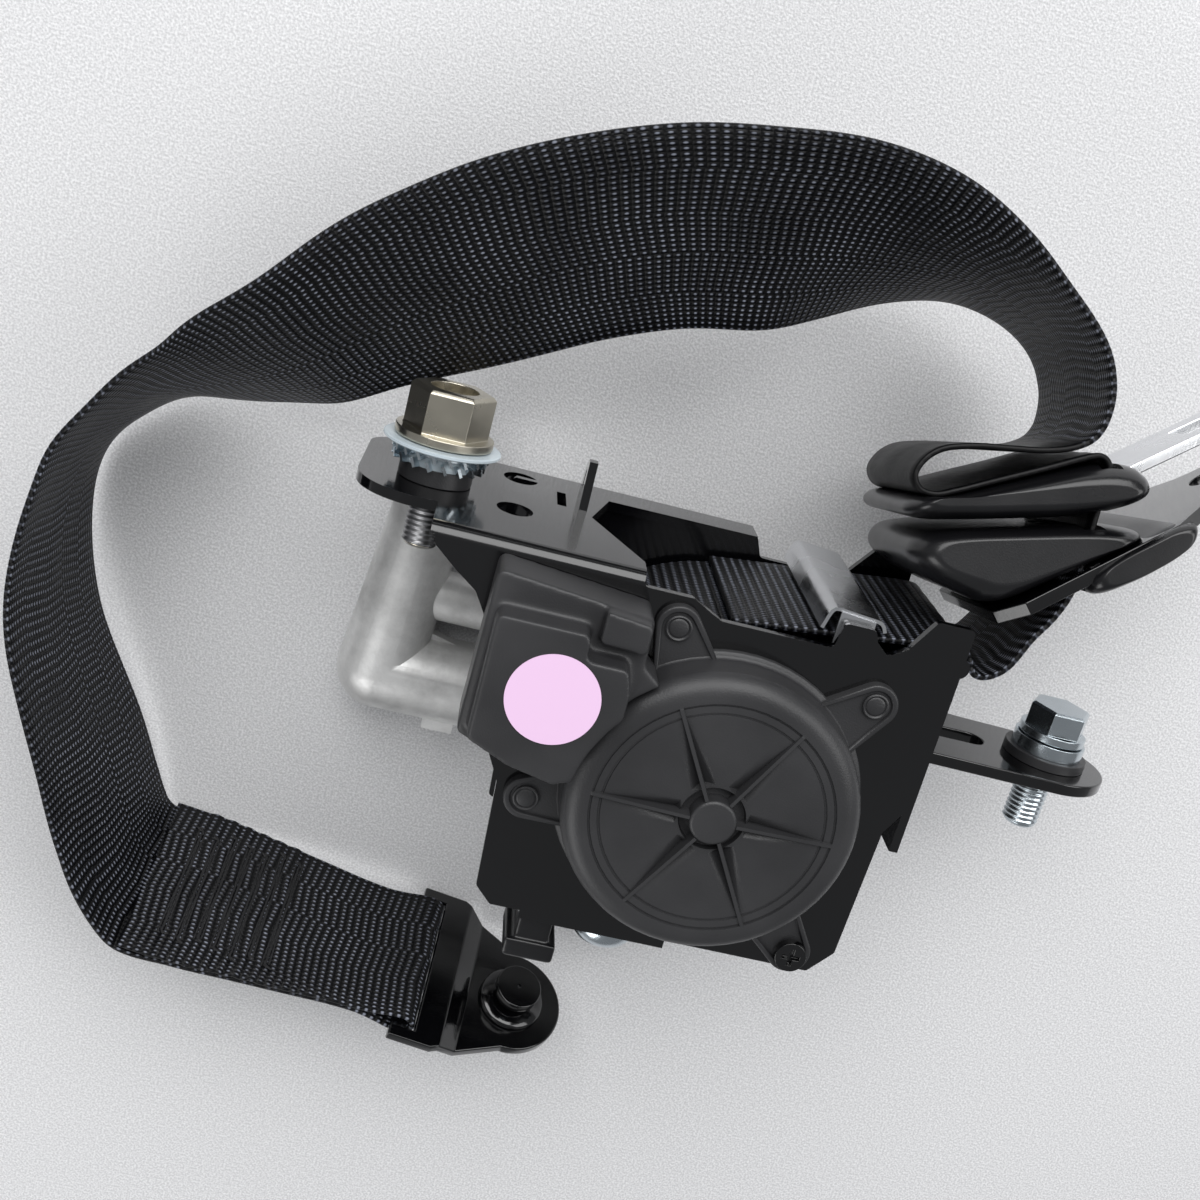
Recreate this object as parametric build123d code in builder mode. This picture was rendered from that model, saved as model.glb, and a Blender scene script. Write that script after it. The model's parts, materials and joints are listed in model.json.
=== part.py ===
from build123d import *
from math import atan2, cos, degrees, hypot, pi, radians, sin, tan
import os

os.makedirs("parts", exist_ok=True)

# Frame of the part: the spool turns about Z, the flat back of the retractor lies at Z = 0,
# the upper mounting plate faces +Y and the covers face +Z. All sizes are in millimetres.

# Clearances
RUN_GAP = 0.08          # radial gap of a shaft in its bush
LOOSE_GAP = 0.3         # gap between faces that pass each other
SEAT_GAP = 0.05         # gap of a pin pressed through a plate of another body

# Webbing
WEB_W = 47.0
WEB_T = 1.2
ROLL_R = 38.0
CORE_R = 20.0

# Retractor frame
STEEL = 2.0             # wall of the folded frame
BACK_DEPTH = 22.0       # depth of the tensioner housing behind the frame
BAY = WEB_W + 5.0       # clear space between the two frame walls
REAR_Z = BACK_DEPTH
BAY_REAR = REAR_Z + STEEL
BAY_FRONT = BAY_REAR + BAY
FRONT_Z = BAY_FRONT + STEEL
MID_Z = BAY_REAR + BAY / 2
SIDE_X = 46.0           # outer face of the side web
PLATE_Y = 46.0          # upper face of the mounting plate
PLATE_T = 2.4
PLATE_BACK_Z = 14.0
TAB_Z = 34.0            # middle of the plate's upright tab
PLATE_END_X = -91.0
CORNER_R = 1.2          # corners of the blank
WALL_LOW_Y = -38.0
BEND_R = 3.0
LIP_Y = 41.5            # middle of the lip that the webbing leaves over
WALL_TOP_Y = 50.5       # corners of both walls beside the lip
JOURNAL_R = 8.0         # spool journals
BUSH_T = 3.0
BUSH_R = JOURNAL_R + BUSH_T

# Covers
COVER_R = 32.5
COVER_H = 13.0
COVER_WALL = 1.8
HUB_R = 5.0
SENSOR_H = 20.0
RIVET_R = 2.0

# Ratchet and lock
RATCHET_TEETH = 20
TOOTH_H = 2.4
RATCHET_T = 3.0
PAWL_PIVOT_R = COVER_R - 8.0
RATCHET_R = PAWL_PIVOT_R - 7.5
PAWL_PIVOT_ANGLE = 150.0
PAWL_PIN_R = 1.6

# Tensioner
TUBE_R = 11.0
BORE_R = 7.6
RACK_R = 7.4
PISTON_LENGTH = 7.0     # solid end of the rack that takes the gas pressure
RACK_END_X = 6.0
RACK_TRAVEL = 32.0      # the teeth reach past the pinion over this travel
BACKLASH = 0.35
MODULE = 1.5
PINION_TEETH = 14
PINION_W = 12.0
ROD_R = 4.5             # torsion bar

# Bolts
BOLT_R = 4.0            # threaded end
SHANK_R = 4.6           # plain shank inside the bushes and washers
UPPER_X = -74.0
UPPER_Z = 44.0
UPPER_HEX = 17.0
UPPER_FLANGE_R = 11.3
LOWER_X = 86.0
LOWER_Z = 44.0
LOWER_HEX = 13.0
ARM_Y = 14.0
ARM_T = 3.0
ARM_R = 15.0
ARM_W = 32.0
ARM_LOW_Z = 26.0
ARM_FOOT = 18.0         # height of the arm's foot on the side web

# Guide and tongue stack: its U axis leans from +X, and its W axis leans from +Z
STACK_TURN = 15.5
STACK_LEAN = 12.0
STACK_POINT = (52.0, 72.0, MID_Z)
SLOT_W = WEB_W + 2.0
RING_SIDE = 3.5         # plate beside the slot
RING_W = SLOT_W + 2 * RING_SIDE
SLOT_T = 4.6
RUN_LOW = (7.6, -23.5)  # lower end of the straight run through both slots, in U, V
RUN_HIGH = (16.6, 9.2)
RING_TOP_V = -2.3
GRIP_LOW_V = -0.6
RING_PLATE_T = 3.0
RING_COVER_T = 2.0      # moulding past the edges of the plate
RING_SLOPE = 25.7
RING_HOLE_R = 5.5
BLADE_T = 2.5
BLADE_W = 24.0
BLADE_LENGTH = 44.0
BLADE_RISE = 24.0

# Floor anchor: its T axis runs along the sewn end, its N axis is square to the plate
ANCHOR_POINT = (-50.0, -92.0, 22.2)
ANCHOR_TURN = -8.0
ANCHOR_LEAN = 25.0
ANCHOR_T = 3.0
ANCHOR_REACH = 29.0
ANCHOR_W = 47.0
TUCK_W = 38.6           # webbing width where its edges are tucked in at the anchor
ANCHOR_END_R = 14.5
JOGGLE = 4.0
SHOULDER_R = 5.5
LOOP_R = 3.4


def along(plane, u, v, w=0.0):
    """Point at u, v, w of a plane."""
    return plane.from_local_coords(Vector(u, v, w))


stack = Plane(
    origin=STACK_POINT,
    x_dir=(cos(radians(STACK_TURN)), sin(radians(STACK_TURN)), 0),
    z_dir=(
        -sin(radians(STACK_TURN)) * sin(radians(STACK_LEAN)),
        cos(radians(STACK_TURN)) * sin(radians(STACK_LEAN)),
        cos(radians(STACK_LEAN)),
    ),
)
anchor = Plane(
    origin=ANCHOR_POINT,
    x_dir=(cos(radians(ANCHOR_TURN)), sin(radians(ANCHOR_TURN)), 0),
    z_dir=(
        -sin(radians(ANCHOR_TURN)) * cos(radians(ANCHOR_LEAN)),
        cos(radians(ANCHOR_TURN)) * cos(radians(ANCHOR_LEAN)),
        sin(radians(ANCHOR_LEAN)),
    ),
)
# side view of the anchor: X along the strap, Y square to the plate, Z towards the near edge
anchor_side = Plane(origin=anchor.origin, x_dir=anchor.x_dir, z_dir=-anchor.y_dir)


# Retractor frame: two walls, side web and mounting plate, folded from one blank
front_outline = [
    (-72, PLATE_Y), (-70.5, 41.5), (-65, 37), (-60, 33.5), (-57.2, 29), (-55, 10), (-45.5, -8),
    (-44, -34), (-40, WALL_LOW_Y), (35, WALL_LOW_Y), (40, -32), (41.2, 0), (SIDE_X, 9),
    (SIDE_X, WALL_TOP_Y), (37.5, WALL_TOP_Y), (33, 43), (29, 40.5), (26, 43), (25, 45.5), (18, 45.5),
    (17, 39.5), (-8, 39.5), (-15, 43), (-26, 43), (-26, PLATE_Y),
]
rear_outline = [
    (-56, PLATE_Y), (-54, 10), (-44, -8), (-42, WALL_LOW_Y), (34, WALL_LOW_Y), (40, -28),
    (SIDE_X, -6), (SIDE_X, WALL_TOP_Y), (36, WALL_TOP_Y), (29, 41), (8, 41), (6, PLATE_Y),
]
plate_outline = [
    (PLATE_END_X, 62), (PLATE_END_X, PLATE_BACK_Z), (6, PLATE_BACK_Z), (6, REAR_Z + STEEL), (-32, 25),
    (-37, 44), (-26, 70), (-26, FRONT_Z), (-72, FRONT_Z), (-72, 62),
]
with BuildPart() as frame:
    with BuildSketch(Plane.XY.offset(BAY_FRONT)) as front_wall:
        with BuildLine():
            Polyline(*front_outline, close=True)
        make_face()
        fillet(front_wall.vertices(), CORNER_R)
        Circle(BUSH_R, mode=Mode.SUBTRACT)
    extrude(amount=STEEL)
    with BuildSketch(Plane.XY.offset(REAR_Z)) as rear_wall:
        with BuildLine():
            Polyline(*rear_outline, close=True)
        make_face()
        fillet(rear_wall.vertices(), CORNER_R)
        Circle(BUSH_R, mode=Mode.SUBTRACT)
    extrude(amount=STEEL)
    with BuildSketch(Plane.YZ.offset(SIDE_X)):
        with Locations(((LIP_Y - 4) / 2, (REAR_Z + FRONT_Z) / 2)):
            Rectangle(LIP_Y + 4, FRONT_Z - REAR_Z)
    extrude(amount=-STEEL)
    with BuildSketch(Plane.XZ.offset(-PLATE_Y)) as plate_plan:
        with BuildLine():
            Polyline(*plate_outline, close=True)
        make_face()
        plate_end = plate_plan.vertices().group_by(Axis.X)[0].sort_by(Axis.Y)
        fillet(plate_end[-1], UPPER_X - PLATE_END_X - 3)
        plate_end = plate_plan.vertices().group_by(Axis.X)[0].sort_by(Axis.Y)
        fillet(plate_end[0], 8)
        with Locations((UPPER_X, UPPER_Z)):
            Circle(SHANK_R + 0.6, mode=Mode.SUBTRACT)
        with Locations((-54, 24), (-55, 53)):
            Ellipse(4.2, 5.0, mode=Mode.SUBTRACT)
        with Locations((-44, 34)):
            Rectangle(2.2, 12, mode=Mode.SUBTRACT)
    extrude(amount=PLATE_T)
    # bottom flange that carries the dome stud
    with BuildSketch(Plane.XZ.offset(-WALL_LOW_Y)):
        with Locations((-16, FRONT_Z - 12)):
            Rectangle(34, 24)
    extrude(amount=STEEL)
    # rolled lip of the side web
    with BuildSketch(Plane.XY.offset(REAR_Z)):
        with Locations((SIDE_X - 1, LIP_Y)):
            Circle(2.4)
    extrude(amount=FRONT_Z - REAR_Z)
    # upright tab of the mounting plate
    with BuildSketch(Plane.YZ.offset(-40)):
        with BuildLine():
            Polyline((PLATE_Y - 1, TAB_Z - 6), (PLATE_Y + 8, TAB_Z - 4), (PLATE_Y + 11, TAB_Z),
                     (PLATE_Y + 11, TAB_Z + 3), (PLATE_Y - 1, TAB_Z + 6), close=True)
        make_face()
        with Locations((PLATE_Y + 6, TAB_Z)):
            SlotOverall(5, 1.8, mode=Mode.SUBTRACT)
    extrude(amount=2)
    bend = frame.edges().filter_by(Axis.X).filter_by_position(Axis.Y, PLATE_Y - 0.1, PLATE_Y + 0.1)
    fillet(bend.filter_by_position(Axis.Z, FRONT_Z - 0.1, FRONT_Z + 0.1), BEND_R)
frame.part.label = "frame"
export_step(frame.part, "parts/frame.step")

with BuildPart() as lower_arm:
    with BuildSketch(Plane.XZ.offset(-ARM_Y)):
        with BuildLine():
            Polyline((SIDE_X, ARM_LOW_Z), (SIDE_X + 6, ARM_LOW_Z), (LOWER_X - 16, ARM_LOW_Z + 2),
                     (LOWER_X, LOWER_Z - ARM_R), (LOWER_X, LOWER_Z + ARM_R),
                     (SIDE_X + 6, ARM_LOW_Z + ARM_W), (SIDE_X, ARM_LOW_Z + ARM_W), close=True)
        make_face()
        with Locations((LOWER_X, LOWER_Z)):
            Circle(ARM_R)
            Circle(SHANK_R + LOOSE_GAP, mode=Mode.SUBTRACT)
        with Locations((SIDE_X + 16, ARM_LOW_Z + ARM_W / 2)):
            SlotOverall(18, 7, mode=Mode.SUBTRACT)
    extrude(amount=ARM_T)
    with BuildSketch(Plane.YZ.offset(SIDE_X)):
        with Locations((ARM_Y - ARM_FOOT / 2, ARM_LOW_Z + ARM_W / 2)):
            Rectangle(ARM_FOOT, ARM_W)
    extrude(amount=ARM_T)
lower_arm.part.label = "lower_arm"
export_step(lower_arm.part, "parts/lower_arm.step")


# Bushes, spool, torsion bar and the wound webbing
def bush(base_z):
    with BuildPart() as ring:
        with BuildSketch(Plane.XY.offset(base_z)):
            Circle(BUSH_R)
            Circle(JOURNAL_R + RUN_GAP, mode=Mode.SUBTRACT)
        extrude(amount=STEEL)
    return ring.part


rear_bush = bush(REAR_Z)
rear_bush.label = "rear_bush"
export_step(rear_bush, "parts/rear_bush.step")
front_bush = bush(BAY_FRONT)
front_bush.label = "front_bush"
export_step(front_bush, "parts/front_bush.step")

ROLL_LOW_Z = MID_Z - WEB_W / 2
ROLL_HIGH_Z = MID_Z + WEB_W / 2
FLANGE_T = 1.6
FLANGE_R = CORE_R + 10
JOURNAL_END_Z = FRONT_Z + 4.0
with BuildPart() as spool:
    with BuildSketch(Plane.XZ):
        with BuildLine():
            Polyline(
                (ROD_R + SEAT_GAP, REAR_Z + LOOSE_GAP), (JOURNAL_R, REAR_Z + LOOSE_GAP),
                (JOURNAL_R, BAY_REAR + LOOSE_GAP),
                (FLANGE_R, BAY_REAR + LOOSE_GAP), (FLANGE_R, BAY_REAR + LOOSE_GAP + FLANGE_T),
                (CORE_R, BAY_REAR + LOOSE_GAP + FLANGE_T), (CORE_R, BAY_FRONT - LOOSE_GAP - FLANGE_T),
                (FLANGE_R, BAY_FRONT - LOOSE_GAP - FLANGE_T), (FLANGE_R, BAY_FRONT - LOOSE_GAP),
                (JOURNAL_R, BAY_FRONT - LOOSE_GAP), (JOURNAL_R, JOURNAL_END_Z),
                (ROD_R + SEAT_GAP, JOURNAL_END_Z), close=True,
            )
        make_face()
    revolve(axis=Axis.Z)
    # lightening pockets round the core
    with BuildSketch(Plane.XY.offset(BAY_FRONT - LOOSE_GAP)):
        with PolarLocations((JOURNAL_R + CORE_R) / 2 + 0.5, 6):
            Circle(3.6)
    extrude(amount=-18, mode=Mode.SUBTRACT)
spool.part.label = "spool"
export_step(spool.part, "parts/spool.step")

ROD_LOW_Z = 4.0
COVER_ROOF_Z = FRONT_Z + 9.4
with BuildPart() as torsion_bar:
    with BuildSketch(Plane.XY.offset(ROD_LOW_Z)):
        Circle(ROD_R)
    extrude(amount=COVER_ROOF_Z - LOOSE_GAP - ROD_LOW_Z)
    chamfer(torsion_bar.edges().filter_by(GeomType.CIRCLE), 0.6)
torsion_bar.part.label = "torsion_bar"
export_step(torsion_bar.part, "parts/torsion_bar.step")

with BuildPart() as webbing_roll:
    with BuildSketch(Plane.XY.offset(ROLL_LOW_Z)):
        Circle(ROLL_R)
        Circle(CORE_R, mode=Mode.SUBTRACT)
    extrude(amount=WEB_W)
webbing_roll.part.label = "webbing_roll"
export_step(webbing_roll.part, "parts/webbing_roll.step")


# Lock: ratchet on the spool, pawl on a pin of the front wall
def polar(radius, angle):
    return (radius * cos(radians(angle)), radius * sin(radians(angle)))


RATCHET_Z = FRONT_Z + 0.4
TOOTH_STEP = 360 / RATCHET_TEETH
with BuildPart() as ratchet:
    with BuildSketch(Plane.XY.offset(RATCHET_Z)):
        with BuildLine():
            teeth = []
            for tooth in range(RATCHET_TEETH):
                teeth.append(polar(RATCHET_R, tooth * TOOTH_STEP))
                teeth.append(polar(RATCHET_R - TOOTH_H, tooth * TOOTH_STEP + 1))
            Polyline(*teeth, close=True)
        make_face()
        Circle(JOURNAL_R + SEAT_GAP, mode=Mode.SUBTRACT)
    extrude(amount=RATCHET_T)
ratchet.part.label = "ratchet"
export_step(ratchet.part, "parts/ratchet.step")

pawl_pivot = polar(PAWL_PIVOT_R, PAWL_PIVOT_ANGLE)
PAWL_IN_R = RATCHET_R + 3.4
PAWL_OUT_R = PAWL_IN_R + 3.0
PAWL_TIP_ANGLE = 109.0
with BuildPart() as lock_pawl:
    with BuildSketch(Plane.XY.offset(RATCHET_Z)):
        with BuildLine():
            inner = CenterArc((0, 0), PAWL_IN_R, PAWL_TIP_ANGLE + 6, PAWL_PIVOT_ANGLE - PAWL_TIP_ANGLE - 6)
            outer = CenterArc((0, 0), PAWL_OUT_R, PAWL_TIP_ANGLE, PAWL_PIVOT_ANGLE - PAWL_TIP_ANGLE)
            Line(inner @ 1, outer @ 1)
            Polyline(inner @ 0, polar(RATCHET_R + 0.7, PAWL_TIP_ANGLE + 1.5),
                     polar(RATCHET_R + 0.7, PAWL_TIP_ANGLE), outer @ 0)
        make_face()
        with Locations(pawl_pivot):
            Circle(3.6)
            Circle(PAWL_PIN_R + RUN_GAP, mode=Mode.SUBTRACT)
    extrude(amount=RATCHET_T - 0.2)
lock_pawl.part.label = "lock_pawl"
export_step(lock_pawl.part, "parts/lock_pawl.step")

with BuildPart() as pawl_pin:
    with BuildSketch(Plane.XY.offset(FRONT_Z)):
        with Locations(pawl_pivot):
            Circle(PAWL_PIN_R)
    extrude(amount=RATCHET_T + 0.3)
pawl_pin.part.label = "pawl_pin"
export_step(pawl_pin.part, "parts/pawl_pin.step")


# Return spring, its arbor and the plate behind it
SPRING_PLATE_Z = RATCHET_Z + RATCHET_T + 0.3
SPRING_PLATE_T = 0.7
SPRING_Z = SPRING_PLATE_Z + SPRING_PLATE_T + LOOSE_GAP
SPRING_W = COVER_ROOF_Z - LOOSE_GAP - SPRING_Z
SPRING_T = 0.5
SPRING_TURNS = 9
SPRING_STEP = 2.2
ARBOR_R = 7.0
with BuildPart() as spring_plate:
    with BuildSketch(Plane.XY.offset(SPRING_PLATE_Z)):
        Circle(COVER_R - COVER_WALL)
        Circle(JOURNAL_R + 0.6, mode=Mode.SUBTRACT)
    extrude(amount=SPRING_PLATE_T)
spring_plate.part.label = "spring_plate"
export_step(spring_plate.part, "parts/spring_plate.step")

with BuildPart() as spring_arbor:
    with BuildSketch(Plane.XY.offset(JOURNAL_END_Z)):
        Circle(ARBOR_R)
        Circle(ROD_R + SEAT_GAP, mode=Mode.SUBTRACT)
    extrude(amount=COVER_ROOF_Z - LOOSE_GAP - JOURNAL_END_Z)
spring_arbor.part.label = "spring_arbor"
export_step(spring_arbor.part, "parts/spring_arbor.step")

with BuildPart() as return_spring:
    with BuildSketch(Plane.XY.offset(SPRING_Z)):
        with BuildLine():
            reach = ARBOR_R + LOOSE_GAP + SPRING_T / 2
            start = Vector(reach, 0)
            for half in range(2 * SPRING_TURNS):
                side = 1 if half % 2 == 0 else -1
                end = Vector(-side * (reach + SPRING_STEP / 2), 0)
                middle = (start + end) / 2 + Vector(0, side * (start - end).length / 2)
                ThreePointArc(start, middle, end)
                start = end
                reach += SPRING_STEP / 2
        trace(line_width=SPRING_T)
    extrude(amount=SPRING_W)
return_spring.part.label = "return_spring"
export_step(return_spring.part, "parts/return_spring.step")


# Round cover of the return spring, with its ribs and lugs
RIVETS = [polar(COVER_R + 7.6, 114.6), polar(COVER_R + 9.2, 45), polar(COVER_R + 7.2, 193.9)]
SCREW_POINT = polar(COVER_R + 11.4, -48.7)
COVER_TOP_Z = FRONT_Z + COVER_H
DISH_R = COVER_R - 8.5
HUB_TOP_Z = COVER_TOP_Z + 2.5
LUG_R = 5.0
LUG_T = 2.4
RIB_COUNT = 6
with BuildPart() as spring_cover:
    with BuildSketch(Plane.XZ):
        with BuildLine():
            Polyline(
                (0, COVER_ROOF_Z), (COVER_R - COVER_WALL, COVER_ROOF_Z), (COVER_R - COVER_WALL, FRONT_Z),
                (COVER_R, FRONT_Z), (COVER_R, COVER_TOP_Z - 2.5), (COVER_R - 2.5, COVER_TOP_Z),
                (COVER_R - 6.2, COVER_TOP_Z), (COVER_R - 6.6, COVER_TOP_Z - 0.8),
                (COVER_R - 7.4, COVER_TOP_Z - 0.8), (COVER_R - 7.8, COVER_TOP_Z - 0.2),
                (DISH_R, COVER_TOP_Z - 0.4), (HUB_R + 4, COVER_ROOF_Z + 1.6), (HUB_R, COVER_ROOF_Z + 1.6),
                (HUB_R, HUB_TOP_Z - 0.5), (HUB_R - 0.5, HUB_TOP_Z), (0, HUB_TOP_Z), close=True,
            )
        make_face()
    revolve(axis=Axis.Z)
    # six ribs that run from the hub down to the rim of the dish
    for rib in range(RIB_COUNT):
        with BuildSketch(Plane.XZ.rotated((0, 0, rib * 360 / RIB_COUNT))):
            with BuildLine():
                Polyline((HUB_R - 1, COVER_ROOF_Z + 0.5), (HUB_R - 1, HUB_TOP_Z - 0.6),
                         (DISH_R, COVER_TOP_Z - 0.2), (DISH_R, COVER_ROOF_Z + 0.5), close=True)
            make_face()
        extrude(amount=0.5, both=True)
    # lugs for the rivets and the screw
    for lug in RIVETS + [SCREW_POINT]:
        reach = hypot(*lug)
        turn = degrees(atan2(lug[1], lug[0]))
        with BuildSketch(Plane.XY.offset(FRONT_Z)):
            with Locations(Location((0, 0, 0), (0, 0, turn))):
                with Locations(((reach + COVER_R - 1) / 2, 0)):
                    Rectangle(reach - COVER_R + 1, 2 * LUG_R)
                with Locations((reach, 0)):
                    Circle(LUG_R)
            with Locations(lug):
                Circle(RIVET_R + SEAT_GAP, mode=Mode.SUBTRACT)
        extrude(amount=LUG_T)
    # foot flange round the wall
    with BuildSketch(Plane.XY.offset(FRONT_Z)):
        Circle(COVER_R + 1.6)
        Circle(COVER_R - COVER_WALL, mode=Mode.SUBTRACT)
    extrude(amount=1.6)
spring_cover.part.label = "spring_cover"
export_step(spring_cover.part, "parts/spring_cover.step")

with BuildPart() as cover_rivets:
    for point in RIVETS:
        with BuildSketch(Plane.XY.offset(FRONT_Z + LUG_T)):
            with Locations(point):
                Circle(RIVET_R + 1.2)
        extrude(amount=0.9)
        with BuildSketch(Plane.XY.offset(FRONT_Z)):
            with Locations(point):
                Circle(RIVET_R)
        extrude(amount=LUG_T)
cover_rivets.part.label = "cover_rivets"
export_step(cover_rivets.part, "parts/cover_rivets.step")

with BuildPart() as cover_screw:
    with BuildSketch(Plane.XY.offset(FRONT_Z)):
        with Locations(SCREW_POINT):
            Circle(RIVET_R)
    extrude(amount=LUG_T)
    with BuildSketch(Plane.XY.offset(FRONT_Z + LUG_T)):
        with Locations(SCREW_POINT):
            Circle(3.6)
    extrude(amount=2.2)
    with BuildSketch(Plane.XY.offset(FRONT_Z + LUG_T + 2.2)):
        with Locations(SCREW_POINT):
            Rectangle(4.2, 1.0)
            Rectangle(1.0, 4.2)
    extrude(amount=-1.2, mode=Mode.SUBTRACT)
cover_screw.part.label = "cover_screw"
export_step(cover_screw.part, "parts/cover_screw.step")


# Stepped cover of the inertia sensor
SENSOR_TOP_Z = FRONT_Z + SENSOR_H
SENSOR_STEP_Z = FRONT_Z + 13.0
sensor_outline = [
    (-57, 43.5), (-23.5, 40.5), (-23, 30), (-19, 27), (-19, 8), (-24, 2), (-31, 3), (-35, 0.5),
    (-47, 3), (-57.5, 7),
]
panel_outline = [
    (-55.5, 36.5), (-36, 36.5), (-36, 31), (-27, 31), (-25.5, 26), (-25.5, 6), (-31, 5), (-36, 3),
    (-46, 5), (-55.5, 9),
]
box_outline = [(-34, 41), (-24, 40), (-24, 33.5), (-34, 34)]
with BuildPart() as sensor_cover:
    with BuildSketch(Plane.XY.offset(FRONT_Z)) as sensor_plan:
        with BuildLine():
            Polyline(*sensor_outline, close=True)
        make_face()
        fillet(sensor_plan.vertices(), 1.6)
    extrude(amount=SENSOR_STEP_Z - FRONT_Z)
    with BuildSketch(Plane.XY.offset(SENSOR_STEP_Z)) as panel_plan:
        with BuildLine():
            Polyline(*panel_outline, close=True)
        make_face()
        fillet(panel_plan.vertices(), 1.6)
    extrude(amount=SENSOR_TOP_Z - SENSOR_STEP_Z)
    with BuildSketch(Plane.XY.offset(SENSOR_STEP_Z)) as box_plan:
        with BuildLine():
            Polyline(*box_outline, close=True)
        make_face()
        fillet(box_plan.vertices(), 0.8)
    extrude(amount=3.5)
    # hollow inside, one wall thick
    with BuildSketch(Plane.XY.offset(FRONT_Z)):
        with BuildLine():
            Polyline(*sensor_outline, close=True)
        make_face()
        offset(amount=-COVER_WALL)
    extrude(amount=SENSOR_STEP_Z - COVER_WALL - FRONT_Z, mode=Mode.SUBTRACT)
    with BuildSketch(Plane.XY.offset(FRONT_Z + 5)):
        with BuildLine():
            Polyline(*panel_outline, close=True)
        make_face()
        offset(amount=-COVER_WALL)
    extrude(amount=SENSOR_TOP_Z - COVER_WALL - FRONT_Z - 5, mode=Mode.SUBTRACT)
    # room for the round cover beside it
    with BuildSketch(Plane.XY.offset(FRONT_Z)):
        Circle(COVER_R + 1.6 + SEAT_GAP)
    extrude(amount=1.6 + SEAT_GAP, mode=Mode.SUBTRACT)
    with BuildSketch(Plane.XY.offset(FRONT_Z)):
        Circle(COVER_R + SEAT_GAP)
    extrude(amount=SENSOR_H, mode=Mode.SUBTRACT)
sensor_cover.part.label = "sensor_cover"
export_step(sensor_cover.part, "parts/sensor_cover.step")

LABEL_POINT = (-40.5, 21.5)
with BuildPart() as label_disc:
    with BuildSketch(Plane.XY.offset(SENSOR_TOP_Z)):
        with Locations(LABEL_POINT):
            Circle(9.8)
    extrude(amount=0.2)
label_disc.part.label = "label_disc"
export_step(label_disc.part, "parts/label_disc.step")

# Inertia sensor: cup with a steel ball and a lever on top of it
CUP_POINT = (-46.0, 22.0)
CUP_W = 15.0
CUP_TOP_Z = FRONT_Z + 7.0
BALL_R = 4.0
BALL_Z = CUP_TOP_Z + 1.0
LEVER_Z = BALL_Z + BALL_R + LOOSE_GAP
LEVER_T = 1.2
LEVER_X = CUP_POINT[0] - CUP_W / 2 + 2.0
LEVER_PIN_R = 1.0
with BuildPart() as sensor_cup:
    with BuildSketch(Plane.XY.offset(FRONT_Z)):
        with Locations(CUP_POINT):
            Rectangle(CUP_W, CUP_W)
    extrude(amount=CUP_TOP_Z - FRONT_Z)
    with Locations((CUP_POINT[0], CUP_POINT[1], BALL_Z)):
        Sphere(BALL_R + SEAT_GAP, mode=Mode.SUBTRACT)
    # two ears that hold the pin of the lever
    with BuildSketch(Plane.XZ.offset(-CUP_POINT[1])):
        with Locations((LEVER_X, (CUP_TOP_Z + LEVER_Z + 2) / 2)):
            Rectangle(4, LEVER_Z + 2 - CUP_TOP_Z)
    extrude(amount=CUP_W / 2, both=True)
    with BuildSketch(Plane.XZ.offset(-CUP_POINT[1])):
        with Locations((LEVER_X, (CUP_TOP_Z + LEVER_Z + 3) / 2)):
            Rectangle(4, LEVER_Z + 3 - CUP_TOP_Z)
    extrude(amount=CUP_W / 2 - 2, both=True, mode=Mode.SUBTRACT)
    with BuildSketch(Plane.XZ.offset(-CUP_POINT[1])):
        with Locations((LEVER_X, LEVER_Z)):
            Circle(LEVER_PIN_R + SEAT_GAP)
    extrude(amount=CUP_W / 2, both=True, mode=Mode.SUBTRACT)
sensor_cup.part.label = "sensor_cup"
export_step(sensor_cup.part, "parts/sensor_cup.step")

with BuildPart() as sensor_pin:
    with BuildSketch(Plane.XZ.offset(-CUP_POINT[1])):
        with Locations((LEVER_X, LEVER_Z)):
            Circle(LEVER_PIN_R)
    extrude(amount=CUP_W / 2, both=True)
sensor_pin.part.label = "sensor_pin"
export_step(sensor_pin.part, "parts/sensor_pin.step")

with BuildPart() as sensor_ball:
    with Locations((CUP_POINT[0], CUP_POINT[1], BALL_Z)):
        Sphere(BALL_R)
sensor_ball.part.label = "sensor_ball"
export_step(sensor_ball.part, "parts/sensor_ball.step")

with BuildPart() as sensor_lever:
    with BuildSketch(Plane.XZ.offset(-CUP_POINT[1])):
        with BuildLine():
            Polyline((LEVER_X, LEVER_Z + 0.4), (LEVER_X + 12, LEVER_Z + 0.4), (LEVER_X + 13, LEVER_Z + 2.2),
                     (LEVER_X + 12, LEVER_Z + 0.4 + LEVER_T), (LEVER_X, LEVER_Z + 0.4 + LEVER_T), close=True)
        make_face()
        with Locations((LEVER_X, LEVER_Z)):
            Circle(LEVER_PIN_R + 0.8)
            Circle(LEVER_PIN_R + RUN_GAP, mode=Mode.SUBTRACT)
    extrude(amount=CUP_W / 2 - 2 - LOOSE_GAP, both=True)
sensor_lever.part.label = "sensor_lever"
export_step(sensor_lever.part, "parts/sensor_lever.step")


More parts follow.
